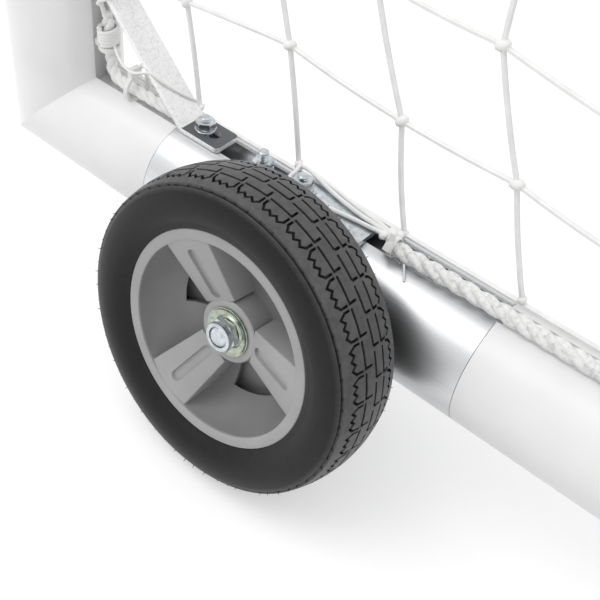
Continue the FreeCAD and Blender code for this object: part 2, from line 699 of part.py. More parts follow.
def spoke(body, front):
    """One spoke, lofted from the hub to the barrel, repeated round the wheel."""
    sections = []
    turn = "@spoke_angle" if front else "@spoke_angle + 180 / @spoke_count"
    face = 1 if front else -1
    root_reach = "@hub_diameter / 2 - @spoke_root_sink"
    tip_reach = "@tyre_bore / 2 - @rim_fit - @rim_lip + @spoke_tip_sink"
    spots = ((root_reach, "@spoke_root_width", "@spoke_root_height"),
             (tip_reach, "@spoke_tip_width", "@spoke_tip_height"))
    for index, (reach, width, height) in enumerate(spots):
        sketch = new_sketch(body, f"Spoke{'Front' if front else 'Rear'}{index}", "YZ_Plane")
        top, low = f"{face} * {height}", f"{face} * ({height} - @spoke_thickness)"
        outline(sketch, [(f"-{width} / 2", low), (f"{width} / 2", low), (f"{width} / 2", top),
                         (f"-{width} / 2", top)])
        turned = FreeCAD.Rotation(Vector(0, 1, 0), value(turn))
        sketch.AttachmentOffset = FreeCAD.Placement(Vector(), turned)
        sketch.setExpression("AttachmentOffset.Base.z", full(f"({reach}) * cos({turn})"))
        sketch.setExpression("AttachmentOffset.Base.x", full(f"({reach}) * sin({turn})"))
        sketch.setExpression("AttachmentOffset.Rotation.Angle", full(turn))
        sections.append(sketch)
    loft = body.newObject("PartDesign::AdditiveLoft", "Spoke")
    loft.Profile = sections[0]
    loft.Sections = [sections[1]]
    loft.Ruled = True
    pattern = body.newObject("PartDesign::PolarPattern", "Spokes")
    pattern.Originals = [loft]
    axis = next(feature for feature in body.Origin.OriginFeatures if feature.Role == "Z_Axis")
    pattern.Axis = (axis, [""])
    pattern.Angle = 360
    pattern.Occurrences = int(value("@spoke_count"))
    bind(pattern, Occurrences="@spoke_count")
    body.Tip = pattern


def rim(name):
    body = new("PartDesign::Body", name)
    outer = "(@tyre_bore / 2 - @rim_fit)"
    lip, wall = f"({outer} - @rim_lip)", f"({outer} - @rim_wall)"
    half, inner = "@rim_width / 2", "(@rim_width / 2 - @rim_flange)"
    revolve(body, "Barrel", [
        (outer, f"-{half}"), (outer, half), (lip, half), (lip, inner), (wall, f"{inner} - @rim_step"),
        (wall, f"@rim_step - {inner}"), (lip, f"-{inner}"), (lip, f"-{half}")])
    spoke(body, True)
    spoke(body, False)
    hub_low = "(@bearing_flange - @hub_inset)"
    hub_top = "(@hub_length - @hub_inset - @bearing_flange)"
    revolve(body, "Hub", [
        ("@bearing_diameter / 2 + @rim_fit", hub_low), ("@hub_diameter / 2", hub_low),
        ("@hub_diameter / 2", hub_top), ("@bearing_diameter / 2 + @rim_fit", hub_top)])
    bore = body.newObject("PartDesign::Groove", "HubBore")
    sketch = new_sketch(body, "HubBoreSection", "XZ_Plane")
    outline(sketch, [(0, "-@hub_length"), ("@bearing_diameter / 2 + @rim_fit", "-@hub_length"),
                     ("@bearing_diameter / 2 + @rim_fit", "@hub_length"), (0, "@hub_length")])
    bore.Profile = sketch
    bore.ReferenceAxis = (sketch, ["V_Axis"])
    bore.Angle = 360
    body.Tip = bore
    return body


bearing = new("PartDesign::Body", "Bearing")
revolve(bearing, "BearingSection", [
    (axle_bore, 0), ("@bearing_flange_diameter / 2", 0), ("@bearing_flange_diameter / 2", "@bearing_flange"),
    ("@bearing_diameter / 2", "@bearing_flange"), ("@bearing_diameter / 2", "@bearing_length"),
    (axle_bore, "@bearing_length")])

for side, sign, end, facing in corners:
    where = axle_place(sign, facing, wheel_reach)
    sub_part(place(tyre(f"Tyre_{end}_{side}"), **where), f"tyre_{end}_{side}")
    sub_part(place(rim(f"Rim_{end}_{side}"), **where), f"rim_{end}_{side}")
    inner_place = axle_place(sign, facing, hub_face)
    outer_place = axle_place(sign, facing, f"{hub_face} + @hub_length")
    outer_place["angle"] = f"{sign} * (-90 - @wheel_camber)"
    group(f"bearings_{end}_{side}", [copy_of(bearing, f"BearingInner_{end}_{side}", **inner_place),
                                     copy_of(bearing, f"BearingOuter_{end}_{side}", **outer_place)])

# Net panels, each one holed face given the twine's thickness. A panel is drawn on its own
# flat axes from an outline, then put in place.
def clip(polygon, point, normal):
    """Keeps the part of a flat polygon on the side of a line that its normal points to."""
    kept = []
    for a, b in zip(polygon, polygon[1:] + polygon[:1]):
        side_a = (a[0] - point[0]) * normal[0] + (a[1] - point[1]) * normal[1]
        side_b = (b[0] - point[0]) * normal[0] + (b[1] - point[1]) * normal[1]
        if side_a >= 0:
            kept.append(a)
        if side_a * side_b < 0:
            share = side_a / (side_a - side_b)
            kept.append((a[0] + (b[0] - a[0]) * share, a[1] + (b[1] - a[1]) * share))
    return kept


def area(polygon):
    return abs(sum(a[0] * b[1] - b[0] * a[1] for a, b in zip(polygon, polygon[1:] + polygon[:1]))) / 2


def flat_wire(polygon, level):
    spots = [Vector(x, y, level) for x, y in polygon]
    return Part.makePolygon(spots + spots[:1])


def net_panel(label, border, start, pitch, placement):
    """border is a convex outline, anticlockwise; strings cross at start plus whole pitches."""
    twine = value("@twine_thickness")
    least_gap = (value("@mesh_size") / 4) ** 2
    low = [min(spot[axis] for spot in border) for axis in (0, 1)]
    high = [max(spot[axis] for spot in border) for axis in (0, 1)]
    edges = list(zip(border, border[1:] + border[:1]))
    holes = []
    first = [math.floor((low[axis] - start[axis]) / pitch[axis]) for axis in (0, 1)]
    last = [math.ceil((high[axis] - start[axis]) / pitch[axis]) for axis in (0, 1)]
    for column in range(first[0], last[0]):
        for rank in range(first[1], last[1]):
            x0, x1 = (start[0] + pitch[0] * (column + step) for step in (0, 1))
            y0, y1 = (start[1] + pitch[1] * (rank + step) for step in (0, 1))
            hole = [(x0 + twine / 2, y0 + twine / 2), (x1 - twine / 2, y0 + twine / 2),
                    (x1 - twine / 2, y1 - twine / 2), (x0 + twine / 2, y1 - twine / 2)]
            for a, b in edges:
                run = math.hypot(b[0] - a[0], b[1] - a[1])
                normal = ((a[1] - b[1]) / run, (b[0] - a[0]) / run)
                inset = (a[0] + normal[0] * twine, a[1] + normal[1] * twine)
                hole = clip(hole, inset, normal) if hole else hole
            if len(hole) > 2 and area(hole) > least_gap:
                holes.append(flat_wire(hole, -twine / 2))
    face = Part.makeFace([flat_wire(border, -twine / 2)] + holes, "Part::FaceMakerBullseye")
    thing = new("Part::Feature", label)
    thing.Shape = face.extrude(Vector(0, 0, twine))
    thing.Placement = placement
    sub_part(thing, label)
    print(label, "gaps:", len(holes))


def flat_axes(origin, along, up):
    """Placement whose local X runs along and whose local Y runs up."""
    return FreeCAD.Placement(Vector(*origin), FreeCAD.Rotation(along, up, along.cross(up), "ZXY"))


near_net = value("@net_inset - @twine_thickness / 2")
gap = value("@net_gap")
tube_clear = math.sqrt((value(tube_radius) + gap) ** 2 - near_net**2)
stay_clear = math.sqrt((value(socket_radius) + gap) ** 2 - near_net**2)
inset = value("@net_inset")
drop, run, span = value(stay_drop), value(stay_run), value(stay_span)
lean_sin, lean_cos = run / span, drop / span
half_width = value(post_x) - stay_clear
mesh = value("@mesh_size")
front_edge, rear_edge = value(front_y), value(rear_y)
ground_line, top_line = value(bar_z), value(crossbar_z)


def slope_y(height):
    """Y of the side panel's rear edge at a height over the side bar."""
    return rear_edge - height * run / drop - stay_clear / lean_cos


low_z, high_z = ground_line + tube_clear, top_line - stay_clear
low_y = front_edge + tube_clear
first_string = front_edge + value("@brace_reach")
side_border = [(low_y, low_z), (slope_y(low_z - ground_line), low_z),
               (slope_y(high_z - ground_line), high_z), (low_y, high_z)]
for side, sign in sides.items():
    origin = (sign * (value(post_x) - inset), 0, 0)
    net_panel(f"net_side_{side}", side_border, (first_string, low_z + mesh), (mesh, mesh),
              flat_axes(origin, Vector(0, 1, 0), Vector(0, 0, 1)))

top_low, top_high = front_edge + tube_clear, value(elbow_y) - stay_clear
top_columns = max(1, round(2 * half_width / mesh))
top_rows = max(1, round((top_high - top_low) / mesh))
net_panel("net_top", [(-half_width, top_low), (half_width, top_low), (half_width, top_high),
                      (-half_width, top_high)], (-half_width, top_low),
          (2 * half_width / top_columns, (top_high - top_low) / top_rows),
          flat_axes((0, 0, top_line - inset), Vector(1, 0, 0), Vector(0, 1, 0)))

back_up = Vector(0, -lean_sin, lean_cos)
back_out = Vector(0, lean_cos, lean_sin)
corner_cut = value("@net_corner_cut")
back_low, back_high = tube_clear, span - stay_clear
back_rows = max(1, round((back_high - back_low) / mesh))
back_columns = max(1, round((half_width - gap / 2) / mesh))
for side, sign in sides.items():
    inner_edge = gap / 2
    border = [(inner_edge, back_low), (half_width - corner_cut, back_low),
              (half_width, back_low + corner_cut), (half_width, back_high), (inner_edge, back_high)]
    origin = Vector(0, rear_edge, ground_line) - back_out * inset
    along = Vector(1, 0, 0)
    if sign < 0:
        border = [(-x, y) for x, y in reversed(border)]
    pitch = ((half_width - inner_edge) / back_columns, (back_high - back_low) / back_rows)
    net_panel(f"net_back_{side}", border, (sign * inner_edge, back_low), pitch,
              flat_axes(origin, along, back_up))

# Border rope along each side bar, over the outer lip of the groove, and its ties. It runs from
# axle bracket to axle bracket and stops short of both.
bracket_end = f"({axle_from_corner} + @bracket_length / 2)"
rope_run = f"(@ground_depth - 2 * ({bracket_end} + @rope_clearance))"
rope_radius = "(@rope_diameter / 2)"
tie_inner = f"({rope_radius} + @seat_gap)"
tie_outer = f"({tie_inner} + @tie_thickness)"
rope_rise = (f"(sqrt({tube_radius}^2 - (@groove_mouth / 2)^2)"
             f" + sqrt(({tie_outer} + @net_gap)^2 - (@groove_mouth / 2 - @rope_offset)^2))")
ties = []
tie_ring = cut("CableTie", cylinder("CableTieBlank", tie_outer, "@tie_width"),
               cylinder("CableTieBore", tie_inner, "@tie_width"))
for side, sign in sides.items():
    where = dict(x=f"{sign} * ({post_x} + @rope_offset)", z=f"{bar_z} + {rope_rise}",
                 axis=(1, 0, 0), angle=-90)
    sub_part(cylinder(f"BorderRope_{side}", rope_radius, rope_run, y=f"-{rope_run} / 2", **where),
             f"border_rope_{side}")
    for end, facing in ends.items():
        start = f"{-facing} * ({rope_run} / 2 - @tie_inset) - @tie_width / 2"
        ties.append(copy_of(tie_ring, f"CableTie_{end}_{side}", y=start, **where))
group("cable_ties", ties)

doc.recompute()

faults = [thing.Label for thing in doc.Objects if set(thing.State) & {"Invalid", "Error"}]
for thing in subparts:
    shape = Part.getShape(thing)
    if shape.isNull() or not shape.isValid() or not shape.Solids:
        faults.append(f"{thing.Label} has no sound solid")
if faults:
    raise RuntimeError("failed: " + ", ".join(faults))

os.makedirs("parts", exist_ok=True)
for thing in subparts:
    thing.Shape.exportStep(os.path.join("parts", thing.Label + ".step"))
print("sub-parts:", len(subparts), "solids:", sum(len(thing.Shape.Solids) for thing in subparts))
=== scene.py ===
import math
import random

import bmesh
import bpy
from mathutils import Matrix, Vector


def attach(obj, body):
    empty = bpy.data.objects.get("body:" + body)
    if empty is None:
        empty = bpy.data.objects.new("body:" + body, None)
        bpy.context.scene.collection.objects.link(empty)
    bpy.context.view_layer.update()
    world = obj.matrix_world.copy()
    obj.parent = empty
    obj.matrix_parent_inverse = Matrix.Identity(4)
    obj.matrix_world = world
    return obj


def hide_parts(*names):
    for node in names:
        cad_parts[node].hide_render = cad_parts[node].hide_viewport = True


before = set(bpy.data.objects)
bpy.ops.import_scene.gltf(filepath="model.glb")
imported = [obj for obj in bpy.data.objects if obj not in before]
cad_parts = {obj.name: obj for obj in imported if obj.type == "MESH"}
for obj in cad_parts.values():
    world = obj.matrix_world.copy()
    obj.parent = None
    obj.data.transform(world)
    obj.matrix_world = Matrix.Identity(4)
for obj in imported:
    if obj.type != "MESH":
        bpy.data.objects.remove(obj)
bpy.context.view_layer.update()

mm = 0.001  # every size below is in millimetres
print("frame loaded:", len(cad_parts), "nodes")


def hexColour(text):
    # sRGB hex to the linear values that Blender's sockets take
    def linear(byte):
        share = byte / 255
        return share / 12.92 if share <= 0.04045 else ((share + 0.055) / 1.055) ** 2.4
    return tuple(linear(int(text[at:at + 2], 16)) for at in (1, 3, 5)) + (1.0,)


def addNode(tree, kind, settings=None, links=None):
    # one node, with its settings, and links given as input name to output socket
    node = tree.nodes.new(kind)
    for name, value in (settings or {}).items():
        if isinstance(name, int) or name in node.inputs:
            node.inputs[name].default_value = value
        else:
            setattr(node, name, value)
    for name, source in (links or {}).items():
        tree.links.new(source, node.inputs[name])
    return node


def newMaterial(name, surface):
    # surface holds the shader's own constants
    made = bpy.data.materials.new(name)
    made.use_nodes = True
    tree = made.node_tree
    shader = tree.nodes["Principled BSDF"]
    for socket, value in surface.items():
        shader.inputs[socket].default_value = value
    place = addNode(tree, "ShaderNodeTexCoord").outputs["Object"]
    return made, tree, shader, place


def rampStops(node, stops):
    ramp = node.color_ramp
    ramp.elements[0].position, ramp.elements[0].color = stops[0][0], hexColour(stops[0][1])
    ramp.elements[1].position, ramp.elements[1].color = stops[-1][0], hexColour(stops[-1][1])
    for at, colour in stops[1:-1]:
        ramp.elements.new(at).color = hexColour(colour)
    return node.outputs["Color"]


# The camera stands where the photograph was taken from: right of the goal, looking down at the front wheel.
cameraSet = {"place": (1914.2, 48.4, 682.7), "azimuth": 128.54, "elevation": 40.85, "roll": 4.75,
             "lens": 60.12, "shift": (0.0472, -0.1369)}


def addCamera(sizes):
    turn, fall = math.radians(sizes["azimuth"]), math.radians(sizes["elevation"])
    ahead = Vector((-math.sin(turn) * math.cos(fall), math.cos(turn) * math.cos(fall), -math.sin(fall)))
    camera = bpy.data.objects.new("camera", bpy.data.cameras.new("camera"))
    bpy.context.scene.collection.objects.link(camera)
    camera.location = Vector(sizes["place"]) * mm
    level = ahead.to_track_quat("-Z", "Y").to_matrix()
    rolled = level @ Matrix.Rotation(math.radians(sizes["roll"]), 3, "Z")
    camera.rotation_euler = rolled.to_euler()
    camera.data.lens = sizes["lens"]
    camera.data.sensor_width = 36
    camera.data.shift_x, camera.data.shift_y = sizes["shift"]
    camera.data.clip_start, camera.data.clip_end = 0.01, 100
    bpy.context.scene.camera = camera


addCamera(cameraSet)
print("camera placed")

# Plain studio: a pale floor that runs to the horizon, a white surround and one soft lamp.
studioSet = {"floorSize": 60000, "floor": "#dadada", "floorSeen": "#e2e2e2", "floorGlow": 0.36,
             "surround": 1.0, "fill": 0.95,
             "keySize": 2200, "keyPower": 30, "keyPlace": (2700, -1600, 3100), "keyAim": (1435.65, 0, 0)}


def seenRays(tree):
    # 1 for the rays that show the background: the camera's own, reflected and transmitted ones
    rays = addNode(tree, "ShaderNodeLightPath")
    straight = addNode(tree, "ShaderNodeMath", {"operation": "MAXIMUM"},
                       {0: rays.outputs["Is Camera Ray"], 1: rays.outputs["Is Transmission Ray"]})
    seen = addNode(tree, "ShaderNodeMath", {"operation": "MAXIMUM"},
                   {0: straight.outputs[0], 1: rays.outputs["Is Glossy Ray"]})
    return seen.outputs[0]


def addStudio(sizes):
    scene = bpy.context.scene
    scene.view_settings.view_transform = "Standard"
    world = bpy.data.worlds.new("surround")
    world.use_nodes = True
    scene.world = world
    tree = world.node_tree
    back = tree.nodes["Background"]
    level = addNode(tree, "ShaderNodeMapRange", {"To Min": sizes["fill"], "To Max": sizes["surround"]},
                    {"Value": seenRays(tree)})
    back.inputs["Color"].default_value = (1, 1, 1, 1)
    tree.links.new(level.outputs[0], back.inputs["Strength"])

    bm = bmesh.new()
    bmesh.ops.create_grid(bm, x_segments=1, y_segments=1, size=sizes["floorSize"] / 2 * mm)
    floor = finishPiece(bm, "floor", floorPaint(sizes))

    lamp = bpy.data.lights.new("overheadSoftbox", "AREA")
    lamp.shape, lamp.size = "SQUARE", sizes["keySize"] * mm
    lamp.energy = sizes["keyPower"]
    holder = bpy.data.objects.new("overheadSoftbox", lamp)
    scene.collection.objects.link(holder)
    holder.location = Vector(sizes["keyPlace"]) * mm
    aim = Vector(sizes["keyAim"]) * mm - holder.location
    holder.rotation_euler = aim.to_track_quat("-Z", "Y").to_euler()


def floorPaint(sizes):
    # a white sweep that glows a little where it is seen, so that it reads white and still holds a soft shadow
    made, tree, shader = newMaterial("whiteSweep", {
        "Base Color": hexColour(sizes["floor"]), "Roughness": 0.9, "Specular IOR Level": 0.1})[:3]
    glow = addNode(tree, "ShaderNodeBsdfPrincipled", {
        "Base Color": hexColour(sizes["floorSeen"]), "Roughness": 0.9, "Specular IOR Level": 0.1,
        "Emission Color": (1, 1, 1, 1), "Emission Strength": sizes["floorGlow"]})
    both = addNode(tree, "ShaderNodeMixShader", {}, {0: seenRays(tree), 1: shader.outputs[0],
                                                     2: glow.outputs[0]})
    tree.links.new(both.outputs[0], tree.nodes["Material Output"].inputs["Surface"])
    return made


def meshOf(bm, name):
    mesh = bpy.data.meshes.new(name)
    bm.to_mesh(mesh)
    bm.free()
    return mesh


def faceOut(bm):
    bmesh.ops.recalc_face_normals(bm, faces=bm.faces)


def finishPiece(bm, name, material, smoothAngle=35):
    # a mesh object at the origin, shaded smooth except over its sharp edges
    mesh = meshOf(bm, name)
    mesh.materials.append(material)
    piece = bpy.data.objects.new(name, mesh)
    bpy.context.scene.collection.objects.link(piece)
    mesh.shade_smooth()
    mesh.set_sharp_from_angle(angle=math.radians(smoothAngle))
    return piece


def joinBody(piece, node=None, body="frame"):
    # the piece rides its body and, where the CAD has it too, stands in for that node
    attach(piece, body)
    if node:
        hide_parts(node)


addStudio(studioSet)
print("studio set")


def noiseBump(tree, shader, place, grain, strength, depth):
    # grain is the size of the relief in millimetres, and depth its height
    noise = addNode(tree, "ShaderNodeTexNoise", {"Scale": 1 / (grain * mm), "Detail": 3.0},
                    {"Vector": place})
    bump = addNode(tree, "ShaderNodeBump", {"Strength": strength, "Distance": depth * mm},
                   {"Height": noise.outputs["Fac"]})
    tree.links.new(bump.outputs[0], shader.inputs["Normal"])


def mottle(tree, shader, place, grain, colours, detail=4.0):
    # colour that wanders between the stops over patches of one grain
    patches = addNode(tree, "ShaderNodeTexNoise", {"Scale": 1 / (grain * mm), "Detail": detail},
                      {"Vector": place})
    ramp = addNode(tree, "ShaderNodeValToRGB", {}, {"Fac": patches.outputs["Fac"]})
    tree.links.new(rampStops(ramp, colours), shader.inputs["Base Color"])


def twoMottles(tree, shader, place, grain, colours, attribute, detail=4.0):
    # the same wander between two pairs of stops, where a mesh attribute says which pair
    patches = addNode(tree, "ShaderNodeTexNoise", {"Scale": 1 / (grain * mm), "Detail": detail},
                      {"Vector": place})
    share = addNode(tree, "ShaderNodeAttribute", {"attribute_name": attribute})
    mixed = addNode(tree, "ShaderNodeMix", {"data_type": "RGBA"}, {0: share.outputs["Fac"]})
    for socket, stops in zip((6, 7), colours):
        ramp = addNode(tree, "ShaderNodeValToRGB", {}, {"Fac": patches.outputs["Fac"]})
        tree.links.new(rampStops(ramp, stops), mixed.inputs[socket])
    tree.links.new(mixed.outputs[2], shader.inputs["Base Color"])


# Polyester powder coat on extruded aluminium: glossy white with a faint orange peel.
def whitePowderCoat():
    made, tree, shader, place = newMaterial("whitePowderCoat", {
        "Roughness": 0.34, "Coat Weight": 0.15, "Coat Roughness": 0.12})
    mottle(tree, shader, place, 60, ((0.3, "#eaeaea"), (0.7, "#f0f0f0")), 2.0)
    noiseBump(tree, shader, place, 2.5, 0.05, 0.2)
    return made


# Mill aluminium, brushed along its length and clear anodised: a satin metal with long soft streaks.
def satinAluminium():
    made, tree, shader, place = newMaterial("satinAluminium", {"Metallic": 1.0, "Roughness": 0.36})
    stretched = addNode(tree, "ShaderNodeMapping", {"Scale": (1, 0.02, 1)}, {"Vector": place})
    drawn = stretched.outputs["Vector"]
    mottle(tree, shader, drawn, 1.2, ((0.3, "#d0d1d3"), (0.7, "#d8dadc")), 3.0)
    noiseBump(tree, shader, drawn, 0.6, 0.12, 0.05)
    return made


# Hot-dip galvanised steel: pale zinc with fine crystals and a dull sheen, with a painted dark reflection on
# the clamped top of each foot.
def galvanisedSteel():
    made, tree, shader, place = newMaterial("galvanisedSteel", {"Metallic": 0.45, "Roughness": 0.38})
    spangle = addNode(tree, "ShaderNodeTexVoronoi", {"Scale": 1 / (1.5 * mm)}, {"Vector": place})
    ramp = addNode(tree, "ShaderNodeValToRGB", {}, {"Fac": spangle.outputs["Color"]})
    spangled = rampStops(ramp, ((0.05, "#e2e2e2"), (0.35, "#f1f1f1"), (0.9, "#fafafa")))
    foot = addNode(tree, "ShaderNodeAttribute", {"attribute_name": "footPaintedReflection"})
    # the dark grey mixed in on each foot's top is a painted reflection
    darkReflection = addNode(tree, "ShaderNodeMix", {"data_type": "RGBA", 7: hexColour("#5c5f61")},
                   {0: foot.outputs["Fac"], 6: spangled})
    tree.links.new(darkReflection.outputs[2], shader.inputs["Base Color"])
    noiseBump(tree, shader, place, 0.9, 0.18, 0.1)
    return made


# Bright zinc plate on pressed steel: light bluish grey, slightly mottled.
def zincPlatedSteel():
    made, tree, shader, place = newMaterial("zincPlatedSteel", {"Metallic": 1.0, "Roughness": 0.27})
    mottle(tree, shader, place, 5, ((0.3, "#b4babd"), (0.7, "#d6dce0")))
    noiseBump(tree, shader, place, 0.8, 0.12, 0.08)
    return made


# Zinc plate with a yellow chromate: pale olive gold that turns greenish and silver in places.
def yellowZincSteel():
    made, tree, shader, place = newMaterial("yellowZincSteel", {"Metallic": 1.0, "Roughness": 0.24})
    mottle(tree, shader, place, 7, ((0.3, "#969c8a"), (0.5, "#b4baad"), (0.7, "#85948b")))
    noiseBump(tree, shader, place, 0.9, 0.1, 0.05)
    return made


# Raw aluminium of the spigots inside the joints: pale and matt from the saw and the press.
def millAluminium():
    made, tree, shader, place = newMaterial("millAluminium", {"Metallic": 1.0, "Roughness": 0.45})
    mottle(tree, shader, place, 3, ((0.3, "#b4b6b8"), (0.7, "#c8cacc")))
    noiseBump(tree, shader, place, 0.7, 0.15, 0.06)
    return made


galvanised, zincPlate, yellowZinc = galvanisedSteel(), zincPlatedSteel(), yellowZincSteel()
nodeFinishes = (
    (whitePowderCoat(), ("corner_", "post_", "crossbar", "side_bar", "rear_bar", "top_stay", "back_stay",
                         "stay_elbow", "rear_top_bar")),
    (satinAluminium(), ("wheel_section",)),
    (millAluminium(), ("joint_spigots",)),
    (galvanised, ("brace",)),
    (zincPlate, ("axle_bracket", "groove_bolts", "flat_washers", "hex_nuts", "axle_sleeves",
                 "axle_bolts", "axle_nuts", "axle_washers")),
    (yellowZinc, ("bearings",)),
)
for finish, starts in nodeFinishes:
    for name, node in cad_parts.items():
        if name.startswith(starts):
            for slot in node.material_slots:
                slot.material = finish
print("frame finished")


# Foamed polyurethane tyre: black and dull on the sidewall; the crown is a lighter grey, partly dust where the
# tread is handled and partly painted light from above, and the groove floors keep the black as painted shade.
def foamTyre():
    made, tree, shader, place = newMaterial("foamTyre", {"Roughness": 0.42, "Specular IOR Level": 0.24})
    # the crown's stops are a lighter grey: partly dust, partly painted light from above
    wall, crown = ((0.3, "#151516"), (0.7, "#1b1b1c")), ((0.3, "#4a4a4b"), (0.7, "#5a5a5b"))
    twoMottles(tree, shader, place, 6, (wall, crown), "treadDustAndPaintedLight", 5.0)
    noiseBump(tree, shader, place, 1.4, 0.2, 0.12)
    return made


# Injection-moulded polypropylene rim: mid grey with a soft sheen, and darker on the bowls of the rear spokes
# as painted shade.
def mouldedRim():
    made, tree, shader, place = newMaterial("mouldedRim", {"Roughness": 0.36, "Specular IOR Level": 0.5})
    # the second pair of stops is painted shade for the recessed bowls
    smooth, shadedBowl = ((0.3, "#9b9b9b"), (0.7, "#a3a3a3")), ((0.3, "#808080"), (0.7, "#888888"))
    twoMottles(tree, shader, place, 30, (smooth, shadedBowl), "paintedBowlShade")
    noiseBump(tree, shader, place, 0.9, 0.15, 0.08)
    return made


# The wheel stands on its camber. Its own frame has X outwards along the axle, Y to the rear and Z up.
wheelSet = {"centre": (1523.869, 288.1, 126.32), "camber": 11}
wheelSpots = {"front_right": (0, -1), "rear_right": (0, 1), "front_left": (180, 1), "rear_left": (180, -1)}


def wheelMatrix(spot):
    turn, along = wheelSpots[spot]
    x, y, z = wheelSet["centre"]
    lean = Matrix.Rotation(math.radians(-wheelSet["camber"]), 4, "Y")
    return (Matrix.Rotation(math.radians(turn), 4, "Z")
            @ Matrix.Translation(Vector((x, along * y, z)) * mm) @ lean @ Matrix.Scale(mm, 4))


def onEveryWheel(made, label, node):
    # the same part on each wheel, in place of that wheel's CAD node
    for spot in wheelSpots:
        piece = made.copy()
        piece.data = made.data.copy()
        piece.name = piece.data.name = label + "_" + spot
        piece.data.transform(wheelMatrix(spot))
        bpy.context.scene.collection.objects.link(piece)
        joinBody(piece, node + "_" + spot, "wheel_" + spot)
    bpy.data.objects.remove(made)


def vertsOf(parts):
    # the vertices among what an operator gives back
    return [part for part in parts if isinstance(part, bmesh.types.BMVert)]


def box(bm, size, place):
    bmesh.ops.create_cube(bm, size=1, matrix=place @ Matrix.Diagonal((*size, 1)))


def spinAround(bm, profile, steps, turn=0, closed=True):
    # profile holds (along the axle, radius) spots, and turn is where round the axle the spin starts
    rods = [bm.verts.new((s, r * math.sin(turn), r * math.cos(turn))) for s, r in profile]
    following = rods[1:] + rods[:1] if closed else rods[1:]
    line = [bm.edges.new(pair) for pair in zip(rods, following)]
    bmesh.ops.spin(bm, geom=rods + line, cent=(0, 0, 0), axis=(1, 0, 0), angle=math.tau, steps=steps,
                   use_merge=True)


def stadium(length, width):
    # the outline of a round-ended slot along X
    ring = []
    for side in (1, -1):
        for step in range(9):
            turn = math.radians(-90 + 180 * step / 8)
            along = (length - width) / 2 + width / 2 * math.cos(turn)
            ring.append((side * along, side * width / 2 * math.sin(turn)))
    return ring


def softenEdges(bm, offset, chosen):
    bmesh.ops.bevel(bm, geom=[edge for edge in bm.edges if chosen(edge)], offset=offset, segments=3,
                    affect="EDGES", profile=0.5, material=-1)


def evenEnds(edge, axis):
    # whether both ends of an edge are at one place along an axis
    return abs(edge.verts[0].co[axis] - edge.verts[1].co[axis]) < 0.01


def sharpFrom(angle, length=0):
    # chooses the edges that turn by more than an angle in radians and are longer than a length
    return lambda edge: (len(edge.link_faces) == 2 and edge.calc_face_angle() > angle
                         and edge.calc_length() > length)


def boolean(mesh, cutter):
    # one mesh cut by another, which may cross itself
    whole = bpy.data.objects.new("whole", mesh)
    tool = bpy.data.objects.new("tool", cutter)
    for thing in (whole, tool):
        bpy.context.scene.collection.objects.link(thing)
    cut = whole.modifiers.new("cut", "BOOLEAN")
    cut.operation, cut.object, cut.solver, cut.use_self = "DIFFERENCE", tool, "EXACT", True
    result = bpy.data.meshes.new_from_object(whole.evaluated_get(bpy.context.evaluated_depsgraph_get()))
    bpy.data.objects.remove(whole)
    bpy.data.objects.remove(tool)
    return result


# Tread of one pitch as grooves: (degrees round the wheel, millimetres across) from the outer shoulder in.
tyreSet = {"radius": 127, "crownRadius": 90, "halfTread": 29, "pitches": 34, "phase": 5.8,
           "grooveWidth": 2.1, "grooveDepth": 2.2, "grooveLap": 0.8, "block": 6, "slices": 4, "strip": 5.8,
           "grooves": (
               ((0, 13.2), (0.1, 17.2), (1.7, 21.9), (3.1, 18.8), (4.7, 21.9), (6.1, 18.8), (7.7, 21.9),
                (9.2, 18.7), (9.1, 13.2)),
               ((0.1, 10.3), (8.9, 10.3), (8.7, 4.2)),
               ((5.3, -0.3), (13.3, -0.3), (13.9, -1.3), (13.8, -6.2)),
               ((5.4, -10.2), (14.1, -9.8), (13.9, -14.8)),
               ((4.4, -15.5), (4.9, -18.7), (6.4, -21.9), (7.9, -18.8), (9.4, -21.9), (10.9, -18.8),
                (12.4, -21.9), (13.7, -18.9))),
           "wall": ((29, 0), (29.1, 119.6), (29.4, 118), (30.1, 117.9), (30.6, 119.7), (31.7, 118.8),
                    (32.9, 116), (34.3, 111.4), (35, 106.2), (34.7, 101.2), (33.8, 97.4), (32.4, 94.6),
                    (30.6, 91.8), (28.9, 89.9), (27.8, 88.6), (27.3, 87.6), (26.9, 87.1), (26.2, 86.9),
                    (25.6, 86.7), (24.8, 86.4), (23.2, 85.2)),
           "grooveShadeDepth": 0.5, "dustAndLightFrom": 117.5, "dustAndLightFade": 4,  # the first wall spot's 0 stands for the crown
           "nub": (3.2, 0.5), "nubAt": (29.3, 120.2), "nubSpread": (0.5, 1.1), "nubStray": 0.2}


def grooveCutter(sizes, perDegree):
    bm = bmesh.new()
    wide, deep = sizes["grooveWidth"], sizes["grooveDepth"]
    pitch = 360 / sizes["pitches"]
    for groove in sizes["grooves"]:
        for (a0, s0), (a1, s1) in zip(groove, groove[1:]):
            for lap in (-2, -1, 0, 1):
                start = Vector(((a0 + lap * pitch) * perDegree, s0, 0))
                end = Vector(((a1 + lap * pitch) * perDegree, s1, 0))
                run = end - start
                place = (Matrix.Translation((start + end) / 2 + Vector((0, 0, (1 - deep) / 2)))
                         @ Matrix.Rotation(math.atan2(run.y, run.x), 4, "Z"))
                box(bm, (run.length + wide * sizes["grooveLap"], wide, deep + 1), place)
    return meshOf(bm, "grooves")


